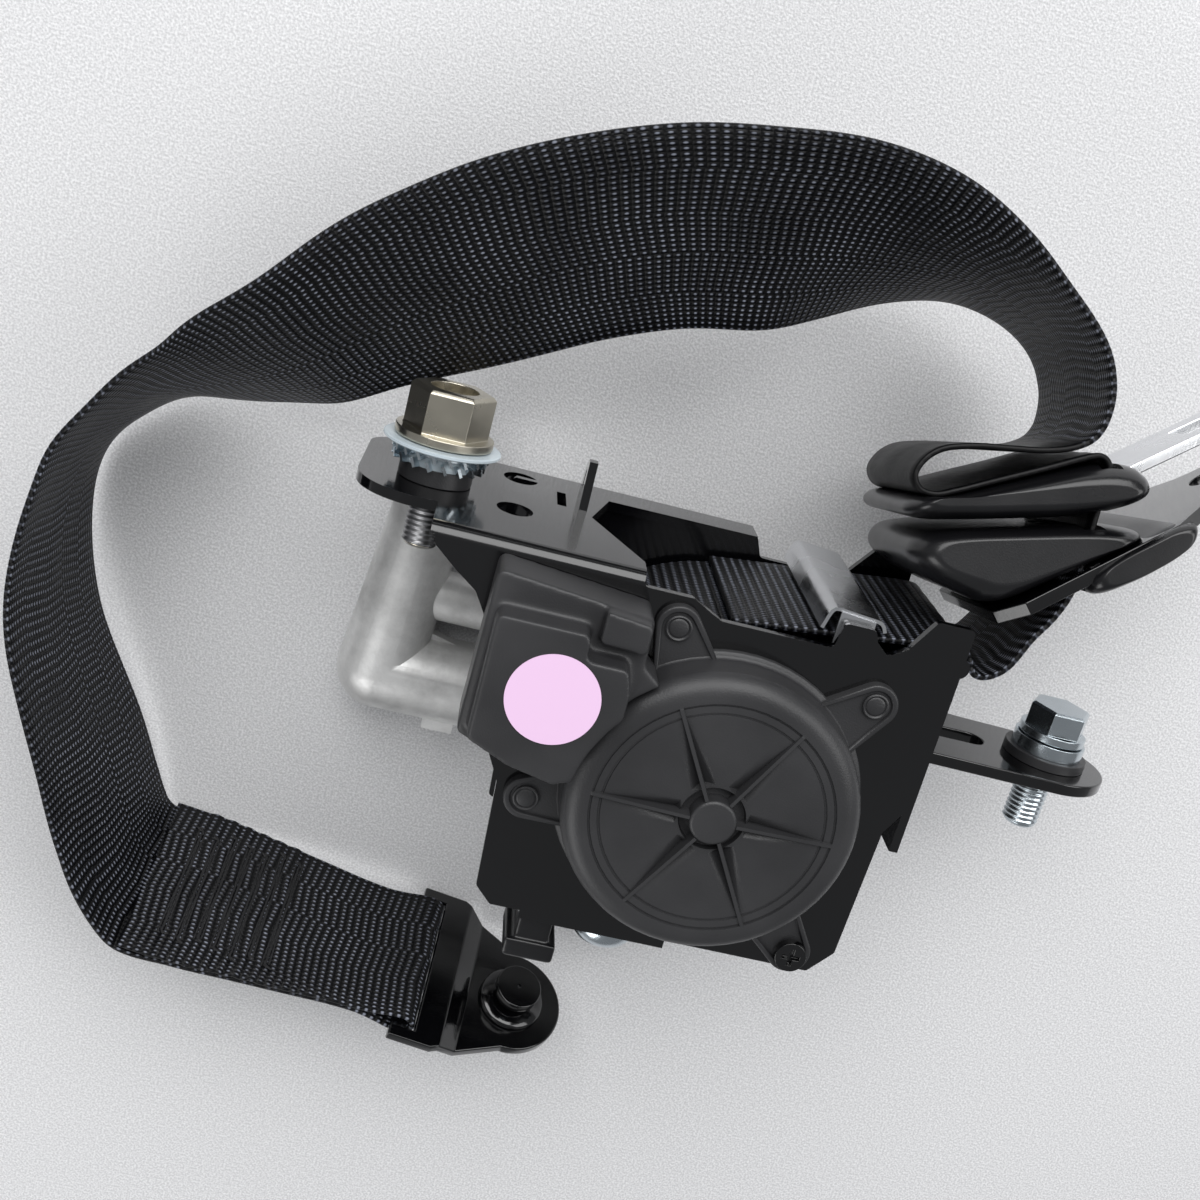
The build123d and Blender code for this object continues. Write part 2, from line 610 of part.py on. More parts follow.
# Tensioner: gas chamber, rack tube and gear housing in one casting
TUBE_Y = -14.5
TUBE_Z = TUBE_R
ELBOW_X = -77.0
HOUSING_R = 18.0
HOUSING_END_X = 42.0
LID_T = 2.0
PINION_R = MODULE * PINION_TEETH / 2
RACK_ADDENDUM = 1.2
TIP_CLEARANCE = 0.3
PITCH_Y = -PINION_R
chamber_low = Vector(ELBOW_X, TUBE_Y, TUBE_Z)
chamber_high = Vector(-73, 38, 12)
chamber_axis = (chamber_high - chamber_low).normalized()
CHAMBER_LENGTH = (chamber_high - chamber_low).length
CHAMBER_BORE_R = 6.6
chamber = Plane(origin=chamber_low, z_dir=chamber_axis)
with BuildPart() as tensioner_body:
    with BuildSketch(Plane.YZ.offset(ELBOW_X)):
        with Locations((TUBE_Y, TUBE_Z)):
            Circle(TUBE_R)
    extrude(amount=HOUSING_END_X - ELBOW_X)
    with Locations(chamber_low):
        Sphere(TUBE_R)
    with BuildSketch(chamber):
        Circle(TUBE_R)
    with BuildSketch(chamber.offset(CHAMBER_LENGTH)):
        Circle(TUBE_R - 2.0)
    loft()
    with BuildSketch(Plane.XY.offset(LID_T)):
        Circle(HOUSING_R)
    extrude(amount=REAR_Z - LID_T)
    # side boss of the chamber, gusset of the elbow and lug under the tube
    with BuildSketch(Plane.YZ.offset(-74)):
        with Locations((8, TUBE_Z)):
            Circle(6.5)
    extrude(amount=22)
    with BuildSketch(Plane.XY.offset(TUBE_Z - 2)):
        with BuildLine():
            Polyline((-72, 4), (-66, -2), (-54, -5), (-54, -14), (-74, -14), close=True)
        make_face()
    extrude(amount=4)
    with BuildSketch(Plane.XY.offset(TUBE_Z - 5)):
        with Locations((-59, -24.5)):
            Rectangle(8, 5)
    extrude(amount=10)
    # pad that takes the gear lid, rack bore, gas bore and room for the pinion
    with BuildSketch(Plane.XY):
        Circle(HOUSING_R + SEAT_GAP)
    extrude(amount=LID_T, mode=Mode.SUBTRACT)
    with BuildSketch(Plane.YZ.offset(ELBOW_X)):
        with Locations((TUBE_Y, TUBE_Z)):
            Circle(BORE_R)
    extrude(amount=HOUSING_END_X - ELBOW_X, mode=Mode.SUBTRACT)
    with BuildSketch(chamber):
        Circle(CHAMBER_BORE_R)
    extrude(amount=CHAMBER_LENGTH, mode=Mode.SUBTRACT)
    with BuildSketch(Plane.XY.offset(LID_T)):
        Circle(PINION_R + MODULE + 1.5)
    extrude(amount=REAR_Z - 2 * LID_T, mode=Mode.SUBTRACT)
    with BuildSketch(Plane.XY.offset(LID_T)):
        Circle(JOURNAL_R + RUN_GAP)
    extrude(amount=REAR_Z, mode=Mode.SUBTRACT)
tensioner_body.part.label = "tensioner_body"
export_step(tensioner_body.part, "parts/tensioner_body.step")

with BuildPart() as gear_lid:
    with BuildSketch(Plane.XY):
        Circle(HOUSING_R)
    extrude(amount=LID_T)
    chamfer(gear_lid.edges().group_by(Axis.Z)[0], 0.5)
gear_lid.part.label = "gear_lid"
export_step(gear_lid.part, "parts/gear_lid.step")

with BuildPart() as tube_plug:
    with BuildSketch(Plane.YZ.offset(HOUSING_END_X - 2.6)):
        with Locations((TUBE_Y, TUBE_Z)):
            Circle(BORE_R - SEAT_GAP)
    extrude(amount=2.6)
    with BuildSketch(Plane.YZ.offset(HOUSING_END_X)):
        with Locations((TUBE_Y, TUBE_Z)):
            RegularPolygon(6.5, 6)
    extrude(amount=1.6)
tube_plug.part.label = "tube_plug"
export_step(tube_plug.part, "parts/tube_plug.step")

with BuildPart() as gas_generator:
    with BuildSketch(chamber.offset(16)):
        Circle(CHAMBER_BORE_R - SEAT_GAP)
    extrude(amount=CHAMBER_LENGTH - 16)
    with BuildSketch(chamber.offset(CHAMBER_LENGTH)):
        Circle(7.5)
    extrude(amount=2)
    with BuildSketch(chamber.offset(CHAMBER_LENGTH + 2)):
        Rectangle(6, 8)
    extrude(amount=2)
gas_generator.part.label = "gas_generator"
export_step(gas_generator.part, "parts/gas_generator.step")

# Rack piston with stub teeth, straight flanks at the pressure angle
PRESSURE = radians(20)
PITCH = pi * MODULE
RACK_TEETH = int((RACK_TRAVEL + PINION_R + MODULE) / PITCH) + 2
RACK_LENGTH = RACK_END_X + (RACK_TEETH - 1) * PITCH + PISTON_LENGTH
rack_top = PITCH_Y + RACK_ADDENDUM
rack_root = PITCH_Y - MODULE - TIP_CLEARANCE
with BuildPart() as rack_piston:
    with BuildSketch(Plane.YZ.offset(RACK_END_X)):
        with Locations((TUBE_Y, TUBE_Z)):
            Circle(RACK_R)
    extrude(amount=-RACK_LENGTH)
    with BuildSketch(Plane.XY.offset(TUBE_Z)):
        with BuildLine():
            cut = [(RACK_END_X + 1, -5), (RACK_END_X + 1, rack_top)]
            for tooth in range(RACK_TEETH):
                middle = PITCH * (1 - tooth)
                half_top = PITCH / 4 - BACKLASH / 4 - RACK_ADDENDUM * tan(PRESSURE)
                half_root = PITCH / 4 - BACKLASH / 4 + (PITCH_Y - rack_root) * tan(PRESSURE)
                if tooth > 0:
                    cut.append((middle + half_root, rack_root))
                    cut.append((middle + half_top, rack_top))
                cut.append((middle - half_top, rack_top))
                cut.append((middle - half_root, rack_root))
            cut.append((middle - half_root - 1.5, rack_root))
            cut.append((middle - half_root - 1.5, -5))
            Polyline(*cut, close=True)
        make_face()
    extrude(amount=RACK_R, both=True, mode=Mode.SUBTRACT)
rack_piston.part.label = "rack_piston"
export_step(rack_piston.part, "parts/rack_piston.step")

# Pinion with involute flanks above the base circle
PINION_LOW_Z = TUBE_Z - PINION_W / 2
BASE_R = PINION_R * cos(PRESSURE)
TIP_R = PINION_R + MODULE
ROOT_R = PINION_R - RACK_ADDENDUM - TIP_CLEARANCE


def roll_angle(radius):
    """Angle by which the involute has turned at a radius, in radians."""
    ratio = (radius / BASE_R) ** 2 - 1
    unrolled = ratio ** 0.5 if ratio > 0 else 0.0
    return unrolled - atan2(unrolled, 1)


HALF_TOOTH = (PITCH / 2 - BACKLASH / 2) / (2 * PINION_R)
with BuildPart() as pinion:
    with BuildSketch(Plane.XY.offset(PINION_LOW_Z)):
        with BuildLine():
            points = []
            for tooth in range(PINION_TEETH):
                middle = -pi / 2 + (tooth + 0.5) * 2 * pi / PINION_TEETH
                flank = []
                for radius in (ROOT_R, BASE_R, PINION_R, (PINION_R + TIP_R) / 2, TIP_R):
                    flank.append((radius, HALF_TOOTH + roll_angle(PINION_R) - roll_angle(radius)))
                for radius, half in flank:
                    points.append((radius * cos(middle - half), radius * sin(middle - half)))
                for radius, half in reversed(flank):
                    points.append((radius * cos(middle + half), radius * sin(middle + half)))
            Polyline(*points, close=True)
        make_face()
    extrude(amount=PINION_W)
    with BuildSketch(Plane.XY.offset(LID_T + LOOSE_GAP)):
        Circle(JOURNAL_R)
    extrude(amount=REAR_Z - LID_T - 2 * LOOSE_GAP)
    with BuildSketch(Plane.XY.offset(LID_T)):
        Circle(ROD_R + RUN_GAP)
    extrude(amount=REAR_Z, mode=Mode.SUBTRACT)
pinion.part.label = "pinion"
export_step(pinion.part, "parts/pinion.step")


# Upper mounting bolt with its bush, washers and hexagon head
with BuildPart() as bolt_bush:
    with BuildSketch(Plane.XZ.offset(-PLATE_Y)):
        with Locations((UPPER_X, UPPER_Z)):
            Circle(8.5)
            Circle(SHANK_R + LOOSE_GAP, mode=Mode.SUBTRACT)
    extrude(amount=-4)
bolt_bush.part.label = "bolt_bush"
export_step(bolt_bush.part, "parts/bolt_bush.step")

with BuildPart() as bolt_retainer:
    with BuildSketch(Plane.XZ.offset(-PLATE_Y - 4)):
        with Locations((UPPER_X, UPPER_Z)):
            Circle(9.6)
            Circle(SHANK_R + LOOSE_GAP, mode=Mode.SUBTRACT)
    extrude(amount=-4)
    with BuildSketch(Plane.XZ.offset(-PLATE_Y - 8)):
        with Locations((UPPER_X, UPPER_Z)):
            Circle(13.5)
            Circle(SHANK_R + LOOSE_GAP, mode=Mode.SUBTRACT)
    extrude(amount=-1.2)
bolt_retainer.part.label = "bolt_retainer"
export_step(bolt_retainer.part, "parts/bolt_retainer.step")

UPPER_SEAT_Y = PLATE_Y + 9.2 + LOOSE_GAP
UPPER_SHANK_Y = PLATE_Y - PLATE_T - LOOSE_GAP
UPPER_TIP_Y = 30.0
with BuildPart() as upper_bolt:
    with BuildSketch(Plane.XZ.offset(-UPPER_SEAT_Y)):
        with Locations((UPPER_X, UPPER_Z)):
            Circle(UPPER_FLANGE_R)
    extrude(amount=-2)
    with BuildSketch(Plane.XZ.offset(-UPPER_SEAT_Y - 2)):
        with Locations((UPPER_X, UPPER_Z)):
            RegularPolygon(UPPER_HEX / 2, 6, major_radius=False)
    extrude(amount=-10)
    chamfer(upper_bolt.edges().group_by(Axis.Y)[-1], 0.8)
    with BuildSketch(Plane.XZ.offset(-UPPER_SEAT_Y - 12)):
        with Locations((UPPER_X, UPPER_Z)):
            Circle(5.5)
    extrude(amount=4, mode=Mode.SUBTRACT)
    with BuildSketch(Plane.XZ.offset(-UPPER_SEAT_Y)):
        with Locations((UPPER_X, UPPER_Z)):
            Circle(SHANK_R)
    extrude(amount=UPPER_SEAT_Y - UPPER_SHANK_Y)
    with BuildSketch(Plane.XZ.offset(-UPPER_SHANK_Y)):
        with Locations((UPPER_X, UPPER_Z)):
            Circle(BOLT_R)
    extrude(amount=UPPER_SHANK_Y - UPPER_TIP_Y)
    chamfer(upper_bolt.edges().group_by(Axis.Y)[0], 0.8)
upper_bolt.part.label = "upper_bolt"
export_step(upper_bolt.part, "parts/upper_bolt.step")

# Lower mounting bolt in the side arm
LOWER_SEAT_Y = ARM_Y + 6.0
LOWER_SHANK_Y = ARM_Y - ARM_T - LOOSE_GAP
LOWER_TIP_Y = -4.0
with BuildPart() as arm_washer:
    with BuildSketch(Plane.XZ.offset(-ARM_Y)):
        with Locations((LOWER_X, LOWER_Z)):
            Circle(10)
            Circle(SHANK_R + LOOSE_GAP, mode=Mode.SUBTRACT)
    extrude(amount=-2.4)
arm_washer.part.label = "arm_washer"
export_step(arm_washer.part, "parts/arm_washer.step")

with BuildPart() as arm_spacer:
    with BuildSketch(Plane.XZ.offset(-ARM_Y - 2.4)):
        with Locations((LOWER_X, LOWER_Z)):
            Circle(8.6)
            Circle(SHANK_R + LOOSE_GAP, mode=Mode.SUBTRACT)
    extrude(amount=-3.6 + LOOSE_GAP)
arm_spacer.part.label = "arm_spacer"
export_step(arm_spacer.part, "parts/arm_spacer.step")

with BuildPart() as lower_bolt:
    with BuildSketch(Plane.XZ.offset(-LOWER_SEAT_Y)):
        with Locations((LOWER_X, LOWER_Z)):
            Circle(8)
    extrude(amount=-2)
    with BuildSketch(Plane.XZ.offset(-LOWER_SEAT_Y - 2)):
        with Locations((LOWER_X, LOWER_Z)):
            RegularPolygon(LOWER_HEX / 2, 6, major_radius=False)
    extrude(amount=-6)
    chamfer(lower_bolt.edges().group_by(Axis.Y)[-1], 0.6)
    with BuildSketch(Plane.XZ.offset(-LOWER_SEAT_Y)):
        with Locations((LOWER_X, LOWER_Z)):
            Circle(SHANK_R)
    extrude(amount=LOWER_SEAT_Y - LOWER_SHANK_Y)
    with BuildSketch(Plane.XZ.offset(-LOWER_SHANK_Y)):
        with Locations((LOWER_X, LOWER_Z)):
            Circle(BOLT_R)
    extrude(amount=LOWER_SHANK_Y - LOWER_TIP_Y)
    chamfer(lower_bolt.edges().group_by(Axis.Y)[0], 0.8)
lower_bolt.part.label = "lower_bolt"
export_step(lower_bolt.part, "parts/lower_bolt.step")


# Small pieces on the frame: web guard, lower clip and dome stud
GUARD_T = 0.8
guard_line = [(12, 43), (15, 47.6), (28, 46.4), (29.5, 44.6)]
ear_outline = [(17, 38), (25, 38), (25, 46.6), (17, 47.4)]
with BuildPart() as web_guard:
    with BuildSketch(Plane.XY.offset(MID_Z)):
        with BuildLine():
            Polyline(*guard_line)
        trace(line_width=GUARD_T)
    extrude(amount=22, both=True)
    with BuildSketch(Plane.XY.offset(MID_Z)):
        with BuildLine():
            Line((17, 47.42), (25, 46.68))
        trace(line_width=GUARD_T)
    extrude(amount=BAY / 2, both=True)
    # ears that lie against the inner faces of the two walls
    for ear_z in (BAY_REAR, BAY_FRONT - GUARD_T):
        with BuildSketch(Plane.XY.offset(ear_z)):
            with BuildLine():
                Polyline(*ear_outline, close=True)
            make_face()
        extrude(amount=GUARD_T)
web_guard.part.label = "web_guard"
export_step(web_guard.part, "parts/web_guard.step")

STUD_POINT = (-12, 68)
STUD_R = 8.0
STUD_H = 6.5
UNDER_Y = WALL_LOW_Y - STEEL
with BuildPart() as dome_stud:
    with BuildSketch(Plane.XZ.offset(-UNDER_Y)):
        with Locations(STUD_POINT):
            Circle(STUD_R)
    extrude(amount=STUD_H)
    fillet(dome_stud.edges().group_by(Axis.Y)[0], STUD_H - 1)
dome_stud.part.label = "dome_stud"
export_step(dome_stud.part, "parts/dome_stud.step")

with BuildPart() as lower_clip:
    with BuildSketch(Plane.XZ.offset(-UNDER_Y)):
        with Locations((-28, 66)):
            Rectangle(8, 14)
    extrude(amount=8)
    with BuildSketch(Plane.XZ.offset(-UNDER_Y + 8)):
        with Locations((-28, 66)):
            Rectangle(12, 16)
    extrude(amount=5)
    fillet(lower_clip.edges().group_by(Axis.Y)[0], 1.5)
lower_clip.part.label = "lower_clip"
export_step(lower_clip.part, "parts/lower_clip.step")


# D-ring: a slotted steel plate with a bolt tab and a moulded cover round the slot
run_start = Vector(*RUN_LOW)
run_step = (Vector(*RUN_HIGH) - run_start).normalized()
run_side = Vector(run_step.Y, -run_step.X)


def run_channel(width):
    """Corners of the slot that the straight run passes through, in U, V."""
    low = run_start - run_step * 12
    high = run_start + run_step * 50
    half = run_side * (width / 2)
    return [tuple(low - half)[:2], tuple(low + half)[:2], tuple(high + half)[:2], tuple(high - half)[:2]]


RING_EDGE_U = -8.0      # where the plate starts, on its top line
RING_EDGE_V = -20.5
RING_HOLE_X = 63.5
TAB_R = 13.0
ring_edge = along(stack, RING_EDGE_U, RING_EDGE_V)
ring_plane = Plane(
    origin=ring_edge,
    x_dir=stack.x_dir * cos(radians(RING_SLOPE)) + stack.y_dir * sin(radians(RING_SLOPE)),
    z_dir=stack.y_dir * cos(radians(RING_SLOPE)) - stack.x_dir * sin(radians(RING_SLOPE)),
)
with BuildPart() as ring_plate:
    with BuildSketch(ring_plane):
        with BuildLine():
            Polyline((0, -RING_W / 2 + 6), (6, -RING_W / 2), (42, -RING_W / 2), (60, -TAB_R - 1),
                     (RING_HOLE_X, -TAB_R), (RING_HOLE_X, TAB_R), (60, TAB_R + 1), (42, RING_W / 2),
                     (6, RING_W / 2), (0, RING_W / 2 - 6), close=True)
        make_face()
        with Locations((RING_HOLE_X, 0)):
            Circle(TAB_R)
            Circle(RING_HOLE_R, mode=Mode.SUBTRACT)
    extrude(amount=-RING_PLATE_T)
    with BuildSketch(stack):
        with BuildLine():
            Polyline(*run_channel(SLOT_T + 3), close=True)
        make_face()
    extrude(amount=SLOT_W / 2 + 1, both=True, mode=Mode.SUBTRACT)
ring_plate.part.label = "ring_plate"

with BuildPart() as ring_cover:
    # lobe above the plate
    with BuildSketch(stack) as lobe:
        with BuildLine():
            Polyline((-7, -20.1), (-17, -15.9), (-24.5, -12), (-26.5, -7), (-22, RING_TOP_V),
                     (14, RING_TOP_V),
                     (23, RING_TOP_V - 1), (25, -4.8), close=True)
        make_face()
        fillet(lobe.vertices().sort_by(Axis.X)[:4], 2.5)
    extrude(amount=RING_W / 2, both=True)
    # shell under the plate
    with BuildSketch(stack):
        with BuildLine():
            Polyline((11.4, -12), (11.4, -17.9), (20.5, -14.3), (26, -11.4), (30, -9), (34, -5.7),
                     (34, -0.5), (25, -4.8), close=True)
        make_face()
    extrude(amount=RING_W / 2 + RING_COVER_T, both=True)
    with BuildSketch(stack):
        with BuildLine():
            Polyline(*run_channel(SLOT_T), close=True)
        make_face()
    extrude(amount=SLOT_W / 2, both=True, mode=Mode.SUBTRACT)
    # room for the plate inside the cover
    add(ring_plate.part, mode=Mode.SUBTRACT)
ring_cover.part.label = "ring_cover"
export_step(ring_cover.part, "parts/ring_cover.step")
export_step(ring_plate.part, "parts/ring_plate.step")


# Latch tongue: a moulded grip with a slot and a steel blade with a latch window
GRIP_W = SLOT_W + 7.0
BLADE_ROOT_U = 19.0
BLADE_ROOT_V = 5.6
with BuildPart() as tongue_grip:
    with BuildSketch(stack) as grip_plan:
        with BuildLine():
            Polyline((-27.5, 3.5), (-26, 0.5), (-21, GRIP_LOW_V), (3, GRIP_LOW_V), (20, 1.5), (25.5, 3.5),
                     (26, 6), (23, 10), (19, 10.9), (13, 10.6), (8, 9.8), (-19, 3.9), (-24, 4.6), close=True)
        make_face()
    extrude(amount=GRIP_W / 2, both=True)
    with BuildSketch(stack):
        with BuildLine():
            Polyline(*run_channel(SLOT_T), close=True)
        make_face()
    extrude(amount=SLOT_W / 2, both=True, mode=Mode.SUBTRACT)
blade_plane = Plane(
    origin=along(stack, BLADE_ROOT_U, BLADE_ROOT_V),
    x_dir=stack.x_dir * cos(radians(BLADE_RISE)) + stack.y_dir * sin(radians(BLADE_RISE)),
    z_dir=stack.y_dir * cos(radians(BLADE_RISE)) - stack.x_dir * sin(radians(BLADE_RISE)),
)
WINDOW_X = 30.0
with BuildPart() as tongue_blade:
    with BuildSketch(blade_plane) as blade_plan:
        with Locations((BLADE_LENGTH / 2, 0)):
            Rectangle(BLADE_LENGTH, BLADE_W)
        fillet(blade_plan.vertices().group_by(Axis.X)[-1], 6)
        with Locations((WINDOW_X, 0)):
            Rectangle(11, 12, mode=Mode.SUBTRACT)
    extrude(amount=BLADE_T / 2, both=True)
tongue_grip.part = tongue_grip.part - tongue_blade.part
tongue_grip.part.label = "tongue_grip"
export_step(tongue_grip.part, "parts/tongue_grip.step")
tongue_blade.part.label = "tongue_blade"
export_step(tongue_blade.part, "parts/tongue_blade.step")


# Floor anchor: slotted plate that hangs in the sewn loop, with its shoulder bolt
BAR_W = 4.0
SLOT_END_T = LOOP_R + WEB_T / 2 + 2 * LOOSE_GAP
PLATE_HOLE_R = SHOULDER_R + RUN_GAP
with BuildPart() as anchor_plate:
    with BuildSketch(anchor_side):
        with BuildLine():
            Polyline((-BAR_W / 2, -ANCHOR_T / 2), (12, -ANCHOR_T / 2), (17, -ANCHOR_T / 2 - JOGGLE),
                     (ANCHOR_REACH + ANCHOR_END_R, -ANCHOR_T / 2 - JOGGLE),
                     (ANCHOR_REACH + ANCHOR_END_R, ANCHOR_T / 2 - JOGGLE), (17, ANCHOR_T / 2 - JOGGLE),
                     (12, ANCHOR_T / 2), (-BAR_W / 2, ANCHOR_T / 2), close=True)
        make_face()
    extrude(amount=ANCHOR_W / 2, both=True)
    # plan outline, slot and bolt hole
    with BuildSketch(anchor) as plan:
        Circle(200)
        with BuildLine():
            Polyline((-BAR_W / 2, -ANCHOR_W / 2), (10, -ANCHOR_W / 2), (ANCHOR_REACH, -ANCHOR_END_R),
                     (ANCHOR_REACH, ANCHOR_END_R), (10, ANCHOR_W / 2), (-BAR_W / 2, ANCHOR_W / 2), close=True)
        make_face(mode=Mode.SUBTRACT)
        with Locations((ANCHOR_REACH, 0)):
            Circle(ANCHOR_END_R, mode=Mode.SUBTRACT)
            Circle(PLATE_HOLE_R)
        with Locations(((BAR_W / 2 + SLOT_END_T) / 2, 0)):
            Rectangle(SLOT_END_T - BAR_W / 2, TUCK_W + 2)
    extrude(amount=20, both=True, mode=Mode.SUBTRACT)
anchor_plate.part.label = "anchor_plate"
export_step(anchor_plate.part, "parts/anchor_plate.step")

BOLT_FACE = ANCHOR_T / 2 - JOGGLE
ANCHOR_TIP = -16.0
CLIP_T = 1.2
CLIP_FACE = BOLT_FACE - ANCHOR_T - LOOSE_GAP
with BuildPart() as anchor_bolt:
    with BuildSketch(anchor.offset(BOLT_FACE + LOOSE_GAP)):
        with Locations((ANCHOR_REACH, 0)):
            Circle(9)
    extrude(amount=1.2)
    with BuildSketch(anchor.offset(BOLT_FACE + LOOSE_GAP + 1.2)):
        with Locations((ANCHOR_REACH, 0)):
            Circle(6.7)
    extrude(amount=6.3)
    with BuildSketch(anchor.offset(BOLT_FACE + LOOSE_GAP + 7.5)):
        with Locations((ANCHOR_REACH, 0)):
            RegularPolygon(3.2, 6)
    extrude(amount=-3.5, mode=Mode.SUBTRACT)
    with BuildSketch(anchor.offset(BOLT_FACE + LOOSE_GAP)):
        with Locations((ANCHOR_REACH, 0)):
            Circle(SHOULDER_R)
    extrude(amount=-ANCHOR_T - 2 * LOOSE_GAP)
    # neck that the clip snaps on, then the threaded end
    with BuildSketch(anchor.offset(CLIP_FACE)):
        with Locations((ANCHOR_REACH, 0)):
            Circle(SHANK_R)
    extrude(amount=-CLIP_T - LOOSE_GAP)
    with BuildSketch(anchor.offset(CLIP_FACE - CLIP_T - LOOSE_GAP)):
        with Locations((ANCHOR_REACH, 0)):
            Circle(BOLT_R)
    extrude(amount=ANCHOR_TIP - CLIP_FACE + CLIP_T + LOOSE_GAP)
anchor_bolt.part.label = "anchor_bolt"
export_step(anchor_bolt.part, "parts/anchor_bolt.step")

with BuildPart() as bolt_clip:
    with BuildSketch(anchor.offset(CLIP_FACE)):
        with Locations((ANCHOR_REACH, 0)):
            Circle(9.5)
            Circle(SHANK_R, mode=Mode.SUBTRACT)
    extrude(amount=-CLIP_T)
bolt_clip.part.label = "bolt_clip"
export_step(bolt_clip.part, "parts/bolt_clip.step")


# Webbing: one strap from the roll, through the D-ring and the tongue, to the sewn anchor loop
def headings(points, first=None, last=None):
    """Unit direction of the path at each of its points."""
    found = []
    for index in range(len(points)):
        before = points[max(index - 1, 0)]
        after = points[min(index + 1, len(points) - 1)]
        found.append((after - before).normalized())
    if first:
        found[0] = first
    if last:
        found[-1] = last
    return found


def path_length(points):
    return sum((after - before).length for before, after in zip(points, points[1:]))


def ribbon(centres, across, first, last, count, square):
    """Strap through the centres, with its near edge towards across, or square to the path."""
    centres = [centres[0], centres[0] + first * 2, *centres[1:-1], centres[-1] - last * 2, centres[-1]]
    across = [across[0], across[0], *across[1:-1], across[-1], across[-1]]
    steps = [0.0]
    for before, after in zip(centres, centres[1:]):
        steps.append(steps[-1] + (after - before).length)
    middle = Edge.make_spline(centres, parameters=steps)
    near_points = [c + a.normalized() * WEB_W for c, a in zip(centres, across)]
    near_side = Edge.make_spline(near_points, parameters=steps)
    rings = []
    for index in range(count + 1):
        spot = index / count
        centre = middle.position_at(spot, position_mode=PositionMode.PARAMETER)
        heading = middle.tangent_at(spot, position_mode=PositionMode.PARAMETER)
        near = near_side.position_at(spot, position_mode=PositionMode.PARAMETER) - centre
        side = (near - heading * (near.dot(heading) * square)).normalized() * (WEB_W / 2)
        lift = heading.cross(side).normalized() * (WEB_T / 2)
        rings.append([centre + side + lift, centre + side - lift, centre - side - lift, centre - side + lift])
    faces = [Face(Wire.make_polygon(ring)) for ring in (rings[0], rings[-1])]
    for ring, following in zip(rings, rings[1:]):
        for k in range(4):
            corners = [ring[k - 1], ring[k], following[k], following[k - 1]]
            faces.append(Face(Wire.make_polygon(corners[:3])))
            faces.append(Face(Wire.make_polygon([corners[0], corners[2], corners[3]])))
    return Solid(Shell(faces))


def strip(plane, pairs, first, last):
    """Strap that follows a path in the plane, with its width square to the plane."""
    points = [Vector(*pair) for pair in pairs]
    sides = [Vector(-h.Y, h.X) * (WEB_T / 2) for h in headings(points, first, last)]
    with BuildPart() as made:
        with BuildSketch(plane):
            with BuildLine():
                left = Spline(*[p + n for p, n in zip(points, sides)], tangents=[first, last])
                right = Spline(*[p - n for p, n in zip(points, sides)], tangents=[first, last])
                Line(left @ 0, right @ 0)
                Line(left @ 1, right @ 1)
            make_face()
        extrude(amount=WEB_W / 2, both=True)
    return made.part


def stack_points(pairs):
    return [along(stack, u, v) for u, v in pairs]


toward_near = stack.z_dir
run_bottom_v = -13.0
run_bottom = (RUN_LOW[0] + (run_bottom_v - RUN_LOW[1]) * run_step.X / run_step.Y, run_bottom_v)
run_heading = stack.x_dir * run_step.X + stack.y_dir * run_step.Y
LIP_GAP_R = 2.4 + LOOSE_GAP + WEB_T / 2
roll_exit_r = ROLL_R + LOOSE_GAP + WEB_T / 2
lip_centre = Vector(SIDE_X - 1, LIP_Y, 0)
exit_angle = degrees(atan2(lip_centre.Y, lip_centre.X)) + degrees(
    atan2(((lip_centre.length) ** 2 - (roll_exit_r - LIP_GAP_R) ** 2) ** 0.5, roll_exit_r - LIP_GAP_R)
)
exit_normal = Vector(cos(radians(exit_angle)), sin(radians(exit_angle)), 0)
exit_heading = Vector(exit_normal.Y, -exit_normal.X, 0)
middle_z = Vector(0, 0, MID_Z)
roll_leave = exit_normal * roll_exit_r + middle_z
lip_reach = lip_centre + exit_normal * LIP_GAP_R + middle_z + Vector(0, 0, 1.6)
exit_centres = [roll_leave, (roll_leave + lip_reach) / 2, lip_reach]
for angle, rise in ((70, 0.12), (40, 0.24), (10, 0.37)):
    exit_centres.append(lip_centre + Vector(*polar(LIP_GAP_R, angle)) + Vector(0, 0, lip_reach.Z + rise))
exit_centres += [Vector(49.7, 39.9, 52.6), Vector(52.7, 38.8, 53.15), Vector(56.4, 40.2, 54.1)]
exit_centres += [along(stack, 0.9, -26.4, -0.5), along(stack, 4.9, -22.4, -0.1), along(stack, 8.2, -18.0)]
exit_centres.append(along(stack, *run_bottom))
up = Vector(0, 0, 1)
exit_turns = [0, 0, 0, 0, 0, 0, 0.08, 0.35, 0.72, 1, 1, 1, 1]
exit_across = [up * (1 - turn) + toward_near * turn for turn in exit_turns]
exit_part = ribbon(exit_centres, exit_across, exit_heading, run_heading, 40, square=0)

turn_centre = Vector(*RUN_HIGH) - run_side * 2.6
fold_pairs = [run_bottom, (13.6, -1.6), RUN_HIGH]
for angle in (14, 44, 74, 102):
    fold_pairs.append((turn_centre.X + 2.6 * cos(radians(angle)), turn_centre.Y + 2.6 * sin(radians(angle))))
fold_pairs += [
    (3, 10.0), (-8, 7.55), (-16, 5.75), (-20.5, 5.1), (-23.8, 6.3), (-24.9, 9.3), (-23, 12.4),
    (-19.2, 14.6), (-12, 15.1), (-4, 14.4), (3, 13.85), (9, 14.3), (13.2, 16), (15.6, 19),
]
leave_step = Vector(0.35, 0.937)
fold_part = strip(stack, fold_pairs, run_step, leave_step)
fold_end = along(stack, *fold_pairs[-1])
leave_heading = stack.x_dir * leave_step.X + stack.y_dir * leave_step.Y

